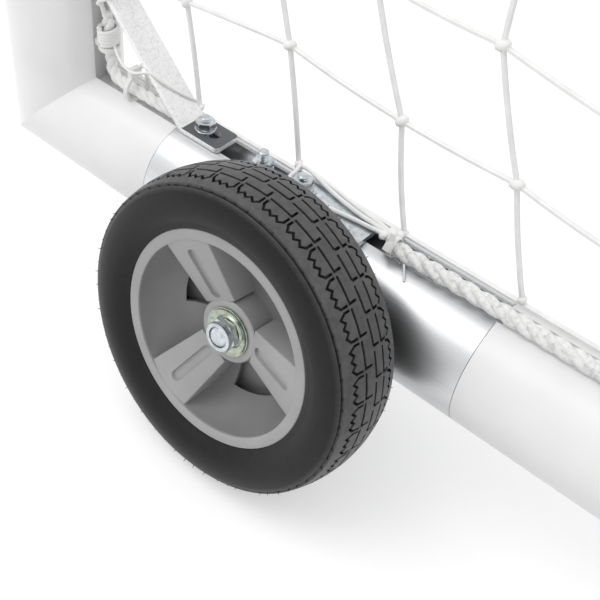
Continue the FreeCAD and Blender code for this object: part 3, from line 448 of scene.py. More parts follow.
def treadPitch(sizes, perDegree):
    # a flat block of rubber, one pitch long, with its grooves cut and only its upper skin kept
    long = 360 / sizes["pitches"] * perDegree
    half, thick, slices, strip = [sizes[key] for key in ("halfTread", "block", "slices", "strip")]
    bm = bmesh.new()
    box(bm, (long, 2 * half, thick), Matrix.Translation((long / 2, 0, -thick / 2)))
    cut = boolean(meshOf(bm, "block"), grooveCutter(sizes, perDegree))
    bm = bmesh.new()
    bm.from_mesh(cut)
    hair = 0.001
    outside = [face for face in bm.faces if face.calc_center_median().z < hair - thick
               or all(vert.co.x < hair for vert in face.verts)
               or all(vert.co.x > long - hair for vert in face.verts)
               or all(abs(vert.co.y) > half - hair for vert in face.verts)]
    bmesh.ops.delete(bm, geom=outside, context="FACES")
    cuts = [((long * step / slices, 0, 0), (1, 0, 0)) for step in range(1, slices)]
    cuts += [((0, step * strip - half, 0), (0, 1, 0)) for step in range(1, round(2 * half / strip))]
    for spot, square in cuts:
        bmesh.ops.bisect_plane(bm, geom=bm.verts[:] + bm.edges[:] + bm.faces[:], dist=hair,
                               plane_co=spot, plane_no=square)
    return bm, long


def crownHeight(sizes, across):
    return sizes["radius"] - sizes["crownRadius"] + math.sqrt(sizes["crownRadius"] ** 2 - across ** 2)


def tyreNubs(sizes):
    # the hairs that the mould's vents leave along both shoulders
    (long, wide), (s, r), stray = sizes["nub"], sizes["nubAt"], sizes["nubStray"]
    chance, count = random.Random(11), 2 * sizes["pitches"]
    for side in (1, -1):
        for step in range(count):
            bm = bmesh.new()
            reach = long * chance.uniform(*sizes["nubSpread"])
            bmesh.ops.create_cone(bm, segments=3, radius1=wide, radius2=wide / 3, depth=reach,
                                  matrix=Matrix.Translation((0, 0, reach / 2)))
            lean = side * chance.uniform(*sizes["nubSpread"])
            turn = math.tau * (step + chance.uniform(-stray, stray)) / count
            bmesh.ops.transform(bm, verts=bm.verts, matrix=Matrix.Rotation(turn, 4, "X")
                                @ Matrix.Translation((side * s, 0, r)) @ Matrix.Rotation(lean, 4, "Y"))
            yield meshOf(bm, "nub")


def tyre(sizes):
    perDegree = math.radians(sizes["radius"])  # millimetres of tread to a degree
    bm, long = treadPitch(sizes, perDegree)
    first = bm.verts[:] + bm.edges[:] + bm.faces[:]
    for lap in range(1, sizes["pitches"]):
        copy = bmesh.ops.duplicate(bm, geom=first)["geom"]
        bmesh.ops.translate(bm, verts=vertsOf(copy), vec=(lap * long, 0, 0))
    for vert in bm.verts:
        along, across, high = vert.co
        turn = math.radians(sizes["phase"] + along / perDegree)
        reach = crownHeight(sizes, across) + high
        vert.co = (across, reach * math.sin(turn), reach * math.cos(turn))
    bmesh.ops.remove_doubles(bm, verts=bm.verts, dist=0.004)
    half = [(s, r or crownHeight(sizes, s)) for s, r in sizes["wall"]]
    spinAround(bm, half + [(-s, r) for s, r in reversed(half)], sizes["pitches"] * sizes["slices"],
               math.radians(sizes["phase"]), closed=False)
    bmesh.ops.remove_doubles(bm, verts=bm.verts, dist=0.02)
    faceOut(bm)
    # the crown's share is partly dust and partly painted top light; groove floors below the crown get 0,
    # painted shade
    shade = bm.verts.layers.float.new("treadDustAndPaintedLight")
    for vert in bm.verts:
        reach = math.hypot(vert.co.y, vert.co.z)
        sunk = abs(vert.co.x) < sizes["halfTread"] and reach < crownHeight(sizes, vert.co.x) - sizes["grooveShadeDepth"]
        vert[shade] = 0 if sunk else min(1, max(0, (reach - sizes["dustAndLightFrom"]) / sizes["dustAndLightFade"]))
    for mesh in tyreNubs(sizes):
        bm.from_mesh(mesh)
    return finishPiece(bm, "tyre", foamTyre(), 32)


onEveryWheel(tyre(tyreSet), "foamTyre", "tyre")
print("tyres made")


# Rim: a barrel with flat lips, three front spokes with slots, and three bowl-shaped rear spokes between them.
rimSet = {"spokes": (-32.8, 87.2, 207.2), "rootHalf": 15.4, "tipHalf": 22, "rootReach": 26, "tipReach": 77,
          "top": ((24, 8.5), (78.4, 26.2)), "round": 1.1,
          "footIn": (0.6, 2.5), "slot": (31.5, 65.5, 4.2), "slotDepth": 2.6, "slotFlare": (1.15, 1.03),
          "bowl": ((78.2, 26.3), (77.4, 21), (75.6, 14.5), (73, 8), (69.5, 2), (65, -4), (60, -8.5),
                   (54, -11.5), (46, -13.2), (37, -13.8), (24.5, -14)),
          "bowlHalf": 47, "bowlWall": 3, "hole": (-14, 28, 37, 60), "bowlCells": 47,
          "backPlate": ((-22, 24.5), (-22, 79), (-25, 79), (-25, 24.5)),
          "barrel": ((-26.8, 86.4), (-26.3, 86.9), (26.3, 86.9), (26.8, 86.4), (26.8, 78.8), (26.2, 78),
                     (20.8, 77.9), (18.8, 82), (-18.8, 82), (-20.8, 78), (-26.2, 78), (-26.8, 78.8)),
          "hub": ((-39.1, 17.7), (-39.1, 25.2), (-38.3, 26), (7.6, 26), (8.5, 25.2), (8.5, 17.7)),
          "steps": 96}


def spokeHalf(sizes, reach):
    share = (reach - sizes["rootReach"]) / (sizes["tipReach"] - sizes["rootReach"])
    return sizes["rootHalf"] + share * (sizes["tipHalf"] - sizes["rootHalf"])


def frontSpoke(sizes):
    # drawn along +Z, with the wheel's axle along X; its foot follows the bowl
    (r0, s0), (r1, s1), (inward, under) = *sizes["top"], sizes["footIn"]
    foot = [(r - inward, s - under) for r, s in sizes["bowl"][1:]]
    bm = bmesh.new()
    side = bm.faces.new([bm.verts.new((s, 0, r)) for r, s in [(r0, s0), (r1, s1)] + foot])
    for vert in vertsOf(bmesh.ops.extrude_face_region(bm, geom=[side])["geom"]):
        vert.co.y = 1
    for vert in bm.verts:
        vert.co.y = spokeHalf(sizes, vert.co.z) * (1 if vert.co.y else -1)
    faceOut(bm)
    slope = (s1 - s0) / (r1 - r0)

    def topSide(edge):
        return all(abs(vert.co.x - s0 - slope * (vert.co.z - r0)) < 0.01 for vert in edge.verts) and abs(
            edge.verts[0].co.z - edge.verts[1].co.z) > (r1 - r0) / 2

    softenEdges(bm, sizes["round"], topSide)
    blank = meshOf(bm, "spoke")

    near, end, half = sizes["slot"]
    bm = bmesh.new()
    ring = []
    for along, across in stadium(end - near + 2 * half, 2 * half):
        reach = (near + end) / 2 + along
        ring.append(bm.verts.new((s0 + slope * (reach - r0) - sizes["slotDepth"], across, reach)))
    top = vertsOf(bmesh.ops.extrude_face_region(bm, geom=[bm.faces.new(ring)])["geom"])
    bmesh.ops.translate(bm, verts=top, vec=(6, 0, 0))  # clear of the spoke's top
    bmesh.ops.scale(bm, verts=top, vec=(1, *sizes["slotFlare"]),
                    space=Matrix.Translation((0, 0, -(near + end) / 2)))
    faceOut(bm)
    return boolean(blank, meshOf(bm, "slot"))


def rearSpoke(sizes):
    # a bowl that fills its pocket at the lip and narrows to the hub, drawn along +Z
    bm = bmesh.new()
    rows = len(sizes["bowl"]) - 1
    bmesh.ops.create_grid(bm, x_segments=rows, y_segments=sizes["bowlCells"], size=0.5)
    low, high, near, far = sizes["hole"]
    window = []
    for face in bm.faces:
        spot = face.calc_center_median()
        row = (spot.x + 0.5) * rows
        reach = [sizes["bowl"][round(row + step)][0] for step in (-0.5, 0.5)]
        if near <= min(reach) and max(reach) <= far and low < 2 * spot.y * sizes["bowlHalf"] < high:
            window.append(face)
    bmesh.ops.delete(bm, geom=window, context="FACES")
    for vert in bm.verts:
        row = round((vert.co.x + 0.5) * rows)
        reach, s = sizes["bowl"][row]
        turn = math.radians(2 * vert.co.y * sizes["bowlHalf"])
        vert.co = (s, reach * math.sin(turn), reach * math.cos(turn))
    faceOut(bm)
    if sum(face.normal.x for face in bm.faces) < 0:
        bmesh.ops.reverse_faces(bm, faces=bm.faces)
    bmesh.ops.solidify(bm, geom=bm.faces[:], thickness=sizes["bowlWall"])
    # every face of the bowls is marked 1 for the painted shade of their recess
    grain = bm.faces.layers.float.new("paintedBowlShade")
    for face in bm.faces:
        face[grain] = 1
    return meshOf(bm, "rearSpoke")


def rim(sizes):
    bm = bmesh.new()
    spinAround(bm, sizes["barrel"], sizes["steps"])
    spinAround(bm, sizes["hub"], sizes["steps"] // 2)
    spinAround(bm, sizes["backPlate"], sizes["steps"] // 2)
    faceOut(bm)
    front, rear = frontSpoke(sizes), rearSpoke(sizes)
    for angle in sizes["spokes"]:
        for mesh, turn in ((front, angle), (rear, angle + 60)):
            part = mesh.copy()
            part.transform(Matrix.Rotation(math.radians(-turn), 4, "X"))
            bm.from_mesh(part)
    return finishPiece(bm, "rim", mouldedRim(), 38)


onEveryWheel(rim(rimSet), "mouldedRim", "rim")
print("rims made")


# Bearings: a dished cup with a rolled edge at each end of the hub, and a seal ring round the axle.
bearingSet = {"cup": ((10.2, 8.1), (10.2, 12.2), (9.6, 13.1), (8.9, 13.6), (8.75, 15), (8.8, 16.6), (9.2, 18),
                      (9.9, 18.9), (10.2, 19.4), (10.1, 19.9), (9.6, 20.1), (8.9, 19.7), (8.55, 18.6),
                      (8.5, 17.4), (-3.9, 17.4), (-3.9, 8.1)),
              "mirrorAt": -30.6, "steps": 64}


def bearings(sizes):
    bm = bmesh.new()
    spinAround(bm, sizes["cup"], sizes["steps"])
    spinAround(bm, [(sizes["mirrorAt"] - s, r) for s, r in sizes["cup"]], sizes["steps"])
    faceOut(bm)
    return finishPiece(bm, "bearings", yellowZinc, 30)


onEveryWheel(bearings(bearingSet), "bearingCups", "bearings")

# Axle hardware in the wheel's frame: a lock nut with a rolled collar, and the bolt with its chamfered end.
axleSet = {"nutFlats": 24, "nut": (10.4, 17.2), "nutChamfer": 1.3,
           "collar": ((17.0, 8.2), (20.9, 8.3), (21.5, 9.3), (21.4, 10.7), (20.8, 11.6), (19.8, 11.9),
                      (18.6, 11.7), (17.0, 11.9)),
           "shank": 7.94, "end": 21.6, "inner": -148.5,
           "thread": 1.9, "threadDepth": 0.45, "threadFrom": -2, "plainEnd": 2.5,
           "tip": ((-1.7, -0.2), (-0.5, -1.6), (0, -2.8)),
           "headFlats": 23.8, "headHeight": 10, "headChamfer": 1.2}
core = 0.1  # a spun bolt closes this near its axis


def hexBar(bm, flats, low, high, chamfer):
    # a hexagonal bar along X whose corners are turned back at both ends
    corner = flats / math.sqrt(3)
    made = bmesh.ops.create_cone(bm, cap_ends=True, segments=6, radius1=corner, radius2=corner,
                                 depth=high - low, matrix=Matrix.Translation(((low + high) / 2, 0, 0))
                                 @ Matrix.Rotation(math.pi / 2, 4, "Y"))
    rings = [edge for edge in {edge for vert in made["verts"] for edge in vert.link_edges}
             if evenEnds(edge, 0)]
    bmesh.ops.bevel(bm, geom=rings, offset=chamfer, segments=2, affect="EDGES", profile=0.5, material=-1)


def threadProfile(sizes, low, high):
    # crests and roots of a thread, as (along, radius) spots
    profile = []
    while low < high:
        profile += [(low, sizes["shank"]), (low + sizes["thread"] / 2, sizes["shank"] - sizes["threadDepth"])]
        low += sizes["thread"]
    return profile


def onEveryAxle(made, name, node):
    # fixed hardware: one piece with a copy at each wheel
    bm = bmesh.new()
    for spot in wheelSpots:
        part = made.data.copy()
        part.transform(wheelMatrix(spot))
        bm.from_mesh(part)
    joinBody(finishPiece(bm, name, made.data.materials[0], 30), node)
    bpy.data.objects.remove(made)


def lockNut(sizes):
    bm = bmesh.new()
    hexBar(bm, sizes["nutFlats"], *sizes["nut"], sizes["nutChamfer"])
    spinAround(bm, sizes["collar"], 48)
    faceOut(bm)
    return finishPiece(bm, "nut", zincPlate, 30)


def axleBolt(sizes):
    shank, end, inner = sizes["shank"], sizes["end"], sizes["inner"]
    tip = [(end + s, shank + r) for s, r in sizes["tip"]] + [(end + core, core)]
    bm = bmesh.new()
    spinAround(bm, [(inner, core), (inner, shank)]
               + threadProfile(sizes, sizes["threadFrom"], end - sizes["plainEnd"]) + tip, 40)
    hexBar(bm, sizes["headFlats"], inner - sizes["headHeight"], inner, sizes["headChamfer"])
    faceOut(bm)
    return finishPiece(bm, "bolt", zincPlate, 30)


onEveryAxle(lockNut(axleSet), "lockNuts", "axle_nuts")
onEveryAxle(axleBolt(axleSet), "axleBolts", "axle_bolts")
print("hubs made")


def slab(points, low, high, place):
    # a flat outline on its own X and Y, given a thickness along Z and then put in place
    bm = bmesh.new()
    face = bm.faces.new([bm.verts.new((x, y, low)) for x, y in points])
    top = vertsOf(bmesh.ops.extrude_face_region(bm, geom=[face])["geom"])
    bmesh.ops.translate(bm, verts=top, vec=(0, 0, high - low))
    faceOut(bm)
    bmesh.ops.transform(bm, matrix=place, verts=bm.verts)
    return bm


def cutThrough(mesh, cutters, low, high):
    # holes and notches, each from its outline and its place
    for outline, place in cutters:
        mesh = boolean(mesh, meshOf(slab(outline, low, high, place), "cutter"))
    return mesh


def roundCorners(points, radii, steps=5):
    # an outline whose corners are turned to arcs; a radius of 0 leaves a corner sharp
    turned = []
    for index, radius in enumerate(radii):
        here = Vector(points[index])
        before = (Vector(points[index - 1]) - here).normalized()
        after = (Vector(points[(index + 1) % len(points)]) - here).normalized()
        if not radius:
            turned.append(tuple(here))
            continue
        half = before.angle(after) / 2
        centre = here + (before + after).normalized() * radius / math.sin(half)
        spokes = [here + arm * radius / math.tan(half) - centre for arm in (before, after)]
        sweep = spokes[0].angle_signed(spokes[1])
        for step in range(steps + 1):
            turn = Matrix.Rotation(-sweep * step / steps, 2)
            turned.append(tuple(centre + turn @ spokes[0]))
    return turned


def setOut(mesh, places, name, finish, smoothAngle=30):
    # one object holding a copy of a part, drawn in millimetres, at each place
    bm = bmesh.new()
    for place in places:
        part = mesh.copy()
        part.transform(Matrix.Scale(mm, 4) @ place)
        if place.determinant() < 0:
            part.flip_normals()
        bm.from_mesh(part)
    return finishPiece(bm, name, finish, smoothAngle)


# Places on the frame, as the CAD has them: the tube's centre lines and the groove's seat.
frameSet = {"postX": 1420.8, "frontY": -600, "barZ": 131.957, "crossbarZ": 1420.8, "seat": 49.906,
            "axleY": 288.1, "braceBolt": 177, "sectionBolt": 70, "bracketBolt": 28, "plate": 5}
sideSigns = (("right", 1), ("left", -1))

# Corner brace: a flat bar bent to 45 degrees between two slotted feet that seat on the groove's lips.
braceSet = {"reach": 160, "foot": 43, "half": 13.75, "bendIn": 4, "slot": (24, 11), "slotAt": 181.5,
            "footCorner": 4, "edge": 0.7}


def brace(sizes):
    seat = frameSet["seat"]
    top, shift, end = seat + frameSet["plate"], seat + sizes["reach"], sizes["reach"] + sizes["foot"]
    rise = shift + frameSet["plate"] * math.sqrt(2)
    bend, wide = sizes["bendIn"], sizes["bendIn"] + frameSet["plate"]
    outline = [(end, seat), (end, top), (rise - top, top), (top, rise - top), (top, end), (seat, end),
               (seat, shift - seat), (shift - seat, seat)]
    upright = Matrix(((0, 0, 1, 0), (1, 0, 0, 0), (0, 1, 0, 0), (0, 0, 0, 1)))
    bent = roundCorners(outline, (0, 0, bend, bend, 0, 0, wide, wide))
    bm = slab(bent, -sizes["half"], sizes["half"], upright)

    def footCorner(edge):
        return evenEnds(edge, 0) and min(max(vert.co.y, vert.co.z) for vert in edge.verts) > end - 0.01

    softenEdges(bm, sizes["footCorner"], footCorner)
    softenEdges(bm, sizes["edge"], sharpFrom(0.8))
    mesh = meshOf(bm, "brace")
    deep = 3 * frameSet["plate"]
    alongBar = Matrix.Rotation(math.pi / 2, 4, "Z")
    low = Matrix.Translation((0, sizes["slotAt"], seat)) @ alongBar
    high = Matrix.Translation((0, seat, sizes["slotAt"])) @ Matrix.Rotation(math.pi / 2, 4, "X") @ alongBar
    mesh = cutThrough(mesh, [(stadium(*sizes["slot"]), place) for place in (low, high)], -deep, deep)
    # the attribute below is 1 on the clamped top of each foot, where a dark reflection is painted
    share = mesh.attributes.new("footPaintedReflection", "FLOAT", "FACE")
    for face, value in zip(mesh.polygons, share.data):  # 1 on the clamped top of each foot
        near, far = sorted((face.center.y, face.center.z))
        value.value = abs(near - top) < 0.3 and far > rise - top
    return mesh


braceShape = brace(braceSet)
for side, sign in sideSigns:
    corner = Matrix.Translation((sign * frameSet["postX"], frameSet["frontY"], frameSet["barZ"]))
    piece = setOut(braceShape, [corner], "cornerBrace_" + side, galvanised)
    joinBody(piece, "brace_" + side)

# Axle bracket: a flange on the groove's lips, bent to a leg that narrows to the axle.
bracketSet = {"flange": 12.5, "gap": 51.1, "low": -47.2, "half": 43.5, "bendIn": 3, "taperFrom": 12,
              "taperHalf": 21, "axleHole": 8.3, "axleDrop": -25.2, "corner": 7, "edge": 0.7,
              "past": (2, 4)}  # how far the cutters reach past the leg, along it and through it


def bracket(sizes):
    lean = math.radians(wheelSet["camber"])
    seat, thick, (beyond, through) = frameSet["seat"], frameSet["plate"], sizes["past"]
    outer, top = sizes["gap"] + thick, seat + thick
    cosine, sine = math.cos(lean), math.sin(lean)

    def onLeg(reach, high):
        return (reach / cosine - high * math.tan(lean), high)

    def across(reach, along):
        return (reach * cosine - along * sine, reach * sine + along * cosine)

    outline = [(-sizes["flange"], seat), onLeg(sizes["gap"], seat), across(sizes["gap"], sizes["low"]),
               across(outer, sizes["low"]), onLeg(outer, top), (-sizes["flange"], top)]
    bent = roundCorners(outline, (0, sizes["bendIn"], 0, 0, sizes["bendIn"] + thick, 0))
    upright = Matrix(((1, 0, 0, 0), (0, 0, -1, 0), (0, 1, 0, 0), (0, 0, 0, 1)))
    bm = slab(bent, -sizes["half"], sizes["half"], upright)

    def flangeCorner(edge):
        return evenEnds(edge, 1) and all(vert.co.x < 0.01 - sizes["flange"] for vert in edge.verts)

    softenEdges(bm, sizes["corner"], flangeCorner)
    mesh = meshOf(bm, "bracket")
    # the leg's own plane: X along the tube, Y up the leg, Z outward along the axle
    leg = Matrix(((0, -sine, cosine, 0), (1, 0, 0, 0), (0, cosine, sine, 0), (0, 0, 0, 1)))
    half, low = sizes["half"] + beyond, sizes["low"] - beyond
    cutters = [(((turn * half, sizes["taperFrom"]), (turn * half, low), (turn * sizes["taperHalf"], low)),
                leg) for turn in (1, -1)]
    cutters.append((stadium(2 * sizes["axleHole"] + 0.01, 2 * sizes["axleHole"]),
                    leg @ Matrix.Translation((0, sizes["axleDrop"], 0))))
    bm = bmesh.new()
    bm.from_mesh(cutThrough(mesh, cutters, sizes["gap"] - through, outer + through))
    softenEdges(bm, sizes["edge"], sharpFrom(1.2, 6))
    return meshOf(bm, "bracket")


bracketShape = bracket(bracketSet)
for side, sign in sideSigns:
    for end, facing in (("front", 1), ("rear", -1)):
        place = (Matrix.Translation((sign * frameSet["postX"], -facing * frameSet["axleY"], frameSet["barZ"]))
                 @ Matrix.Diagonal((sign, facing, 1, 1)))
        piece = setOut(bracketShape, [place], "axleBracket_" + end + "_" + side, zincPlate)
        joinBody(piece, "axle_bracket_" + end + "_" + side)
print("brackets made")


# Fasteners that stand in the groove: T-head bolt, flat washer and hex nut, twelve of each.
fastenerSet = {"washer": 9.2, "washerHeight": 2, "hole": 5, "washerEdge": (0.3, 0.4),
               "nutFlats": 15, "nutHeight": 7.4, "nutChamfer": 0.9,
               "shank": 4.6, "thread": 1.5, "threadDepth": 0.5, "threadFrom": 3, "plainEnd": 2,
               "proud": 3.6, "tip": ((-0.9, -0.1), (0, -1)), "head": (25, 17, 6), "lip": 46.3}


def fastenerPlaces(sizes):
    # where each stack starts: on the lips of a bar's or post's groove, over a plate or none
    outward, places = Matrix.Rotation(-math.pi / 2, 4, "X"), []
    for sign in (1, -1):
        x, seat = sign * sizes["postX"], sizes["seat"]
        low = (x, sizes["frontY"] + sizes["braceBolt"], sizes["barZ"] + seat)
        high = (x, sizes["frontY"] + seat, sizes["barZ"] + sizes["braceBolt"])
        places.append((Matrix.Translation(low), sizes["plate"]))
        places.append((Matrix.Translation(high) @ outward, sizes["plate"]))
        for facing in (1, -1):
            for offset, plate in ((sizes["sectionBolt"], 0), (sizes["bracketBolt"], sizes["plate"])):
                y = -facing * (sizes["axleY"] + offset)
                places.append((Matrix.Translation((x, y, sizes["barZ"] + seat)), plate))
    return places


def fasteners(sizes):
    stand = Matrix.Rotation(-math.pi / 2, 4, "Y")
    places = fastenerPlaces(frameSet)

    washer, hole, thick, (below, above) = [
        sizes[key] for key in ("washer", "hole", "washerHeight", "washerEdge")]
    bm = bmesh.new()
    spinAround(bm, ((0, hole), (0, washer - below), (below, washer), (thick - above, washer),
                    (thick, washer - above), (thick, hole + below), (thick - below, hole)), 36)
    faceOut(bm)
    washers = meshOf(bm, "washer"), [place @ Matrix.Translation((0, 0, plate)) @ stand
                                     for place, plate in places]

    bm = bmesh.new()
    hexBar(bm, sizes["nutFlats"], 0, sizes["nutHeight"], sizes["nutChamfer"])
    faceOut(bm)
    spun = random.Random(5)
    nuts = meshOf(bm, "nut"), [place @ Matrix.Translation((0, 0, plate + thick)) @ stand
                               @ Matrix.Rotation(spun.uniform(0, 1), 4, "X") for place, plate in places]

    top = frameSet["plate"] + thick + sizes["nutHeight"] + sizes["proud"]
    low, shank = sizes["lip"] - frameSet["seat"], sizes["shank"]
    tip = [(top + s, shank + r) for s, r in sizes["tip"]] + [(top, core)]
    bm = bmesh.new()
    spinAround(bm, [(low, core), (low, shank)]
               + threadProfile(sizes, sizes["threadFrom"], top - sizes["plainEnd"]) + tip, 24)
    wide, deep, high = sizes["head"]
    box(bm, (high, deep, wide), Matrix.Translation((low - high / 2, 0, 0)))
    faceOut(bm)
    bolts = meshOf(bm, "bolt"), [place @ stand for place, plate in places]
    for (mesh, spots), name, node in ((washers, "flatWashers", "flat_washers"), (nuts, "hexNuts", "hex_nuts"),
                                      (bolts, "grooveBolts", "groove_bolts")):
        joinBody(setOut(mesh, spots, name, zincPlate), node)


fasteners(fastenerSet)
print("fasteners made")


# Knotted polyester netting: off-white twine with a soft matt twist, stiff enough to hold its bends.
def nettingTwine():
    made, tree, shader, place = newMaterial("nettingTwine", {"Roughness": 0.75, "Sheen Weight": 0.25})
    mottle(tree, shader, place, 12, ((0.3, "#ededec"), (0.7, "#f7f7f6")))
    noiseBump(tree, shader, place, 1.3, 0.5, 0.3)
    return made


# Polyester rope: three bleached strands, soft and a little dusty, with loose hairs.
def ropeFibre():
    made, tree, shader, place = newMaterial("ropeFibre", {"Roughness": 0.85, "Sheen Weight": 0.3})
    mottle(tree, shader, place, 3.5, ((0.3, "#cccccb"), (0.44, "#e4e4e3"), (0.7, "#f4f4f3")))
    noiseBump(tree, shader, place, 0.9, 0.7, 0.4)
    return made


# Natural nylon of the cable ties: milky white with a waxy gloss.
def tiePlastic():
    made, tree, shader, place = newMaterial("tiePlastic", {"Roughness": 0.33, "Specular IOR Level": 0.5})
    mottle(tree, shader, place, 15, ((0.3, "#e6e6e4"), (0.7, "#eeeeec")))
    return made


twineFinish, ropeFinish, tieFinish = nettingTwine(), ropeFibre(), tiePlastic()


def smoothRoute(points):
    # points in millimetres to the points, in metres, of the smooth curve that they guide
    curve = bpy.data.curves.new("route", "CURVE")
    curve.dimensions, curve.resolution_u = "3D", 10
    line = curve.splines.new("NURBS")
    line.points.add(len(points) - 1)
    for point, spot in zip(line.points, points):
        point.co = (*[value * mm for value in spot], 1)
    line.order_u, line.use_endpoint_u = 3, True
    holder = bpy.data.objects.new("route", curve)
    drawn = bpy.data.meshes.new_from_object(holder)
    found = [vert.co.copy() for vert in drawn.vertices]
    bpy.data.objects.remove(holder)
    return found


def squareTo(spots):
    # each spot of a line with two directions square to the line there, which follow it without a twist
    side = Vector((1, 0, 0))
    for index, spot in enumerate(spots):
        ahead = (spots[min(index + 1, len(spots) - 1)] - spots[max(index - 1, 0)]).normalized()
        side = (side - ahead * side.dot(ahead)).normalized()
        yield spot, side, ahead.cross(side)


def tubeAlong(bm, spots, radius, faces=7):
    # a round tube in millimetres through points in millimetres, closed at its ends
    reaches = radius if isinstance(radius, tuple) else [radius] * len(spots)
    turns = [math.tau * step / faces for step in range(faces)]
    rings = [[bm.verts.new(spot + (side * math.cos(turn) + other * math.sin(turn)) * reach) for turn in turns]
             for (spot, side, other), reach in zip(squareTo(spots), reaches)]
    for ring, following in zip(rings, rings[1:]):
        for index in range(faces):
            bm.faces.new((ring[index - 1], ring[index], following[index], following[index - 1]))
    bm.faces.new(rings[0])
    bm.faces.new(rings[-1])


def evenSteps(spots, gap):
    # points at even distances along a line of points
    walked, placed = 0.0, [spots[0]]
    for a, b in zip(spots, spots[1:]):
        run = (b - a).length
        while run and walked + run >= gap * len(placed):
            placed.append(a + (b - a) * ((gap * len(placed) - walked) / run))
        walked += run
    return placed


# Three-strand rope: each strand's share of the rope's radius, steps in one turn, and the loose hairs.
strandSet = {"share": 0.53, "steps": 10, "hairRoot": 0.7, "hairLength": (1.2, 3.6), "hairBend": 0.5,
             "hairRadii": (0.3, 0.25, 0.12)}


def twistedRope(bm, spots, radius, lay, chance, hairs):
    # three strands laid round a line of points in millimetres, with loose hairs
    line = evenSteps(spots, lay / strandSet["steps"])
    strand, most = radius * strandSet["share"], strandSet["hairBend"]
    for start in range(3):
        helix = []
        for index, (spot, side, other) in enumerate(squareTo(line)):
            turn = math.tau * (start / 3 + index / strandSet["steps"])
            helix.append(spot + (side * math.cos(turn) + other * math.sin(turn)) * (radius - strand))
        tubeAlong(bm, helix, strand)
    for hair in range(hairs):
        root = chance.choice(line)
        out = Vector([chance.uniform(-1, 1) for axis in range(3)]).normalized()
        bend = Vector([chance.uniform(-most, most) for axis in range(3)])
        long = chance.uniform(*strandSet["hairLength"])
        tubeAlong(bm, [root + out * (radius * strandSet["hairRoot"]), root + out * (radius + long / 2),
                       root + (out + bend).normalized() * (radius + long)], strandSet["hairRadii"], 3)


# Border rope: lies along the outer lip of the side bar's groove between two brackets, tied at both ends.
ropeSet = {"diameter": 13.5, "lay": 44, "hairs": 150, "half": 228,
           "line": ((1427.6, -228, 189.9), (1428.4, -206, 189.4), (1427.2, -160, 190.2), (1428.2, -96, 189.5),
                    (1427.6, -30, 190), (1428.4, 40, 189.6), (1427.1, 104, 190.1), (1428.3, 164, 189.5),
                    (1427.8, 206, 189.7), (1427.6, 228, 189.9))}


def borderRopes(sizes):
    for side, sign in sideSigns:
        path = smoothRoute([(sign * x, y, z) for x, y, z in sizes["line"]])
        bm = bmesh.new()
        twistedRope(bm, [spot / mm for spot in path], sizes["diameter"] / 2, sizes["lay"],
                    random.Random(7 + sign), sizes["hairs"])
        faceOut(bm)
        bmesh.ops.transform(bm, matrix=Matrix.Scale(mm, 4), verts=bm.verts)
        piece = finishPiece(bm, "borderRope_" + side, ropeFinish, 60)
        joinBody(piece, "border_rope_" + side)
        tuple(path[0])


borderRopes(ropeSet)

# Cable ties: a flat nylon band round the rope's end, with its lock and a short cut tail.
tieSet = {"inner": 7, "thick": 1.4, "wide": 4.8, "edge": 0.3, "lock": (5.6, 6.5, 5), "lockShift": -1.5,
          "tail": (4.2, 9, 1), "tailTilt": 0.2, "place": (1427.6, 222, 189.9), "tip": 0.9}


def cableTie(sizes):
    # a band round X, closed by its lock at the top
    inner, edge, half = sizes["inner"], sizes["edge"], sizes["wide"] / 2
    outer, lock, tail = inner + sizes["thick"], sizes["lock"], sizes["tail"]
    bm = bmesh.new()
    spinAround(bm, ((-half, inner), (-half, outer - edge), (edge - half, outer), (half - edge, outer),
                    (half, outer - edge), (half, inner)), 28)
    box(bm, lock, Matrix.Translation((0, sizes["lockShift"], inner + lock[2] / 2)))
    box(bm, tail, Matrix.Translation((0, tail[1] / 2, inner + lock[2] - tail[2]))
        @ Matrix.Rotation(sizes["tailTilt"], 4, "X"))
    faceOut(bm)
    return meshOf(bm, "tie")


def ropeEndTies(sizes):
    (x, y, z), places = sizes["place"], []
    for sign in (1, -1):
        for end in (-1, 1):
            places.append(Matrix.Translation((sign * x, end * y, z)) @ Matrix.Rotation(math.pi / 2, 4, "Z")
                          @ Matrix.Rotation(-sign * end * sizes["tip"], 4, "X"))
    joinBody(setOut(cableTie(sizes), places, "cableTies", tieFinish), "cable_ties")


ropeEndTies(tieSet)

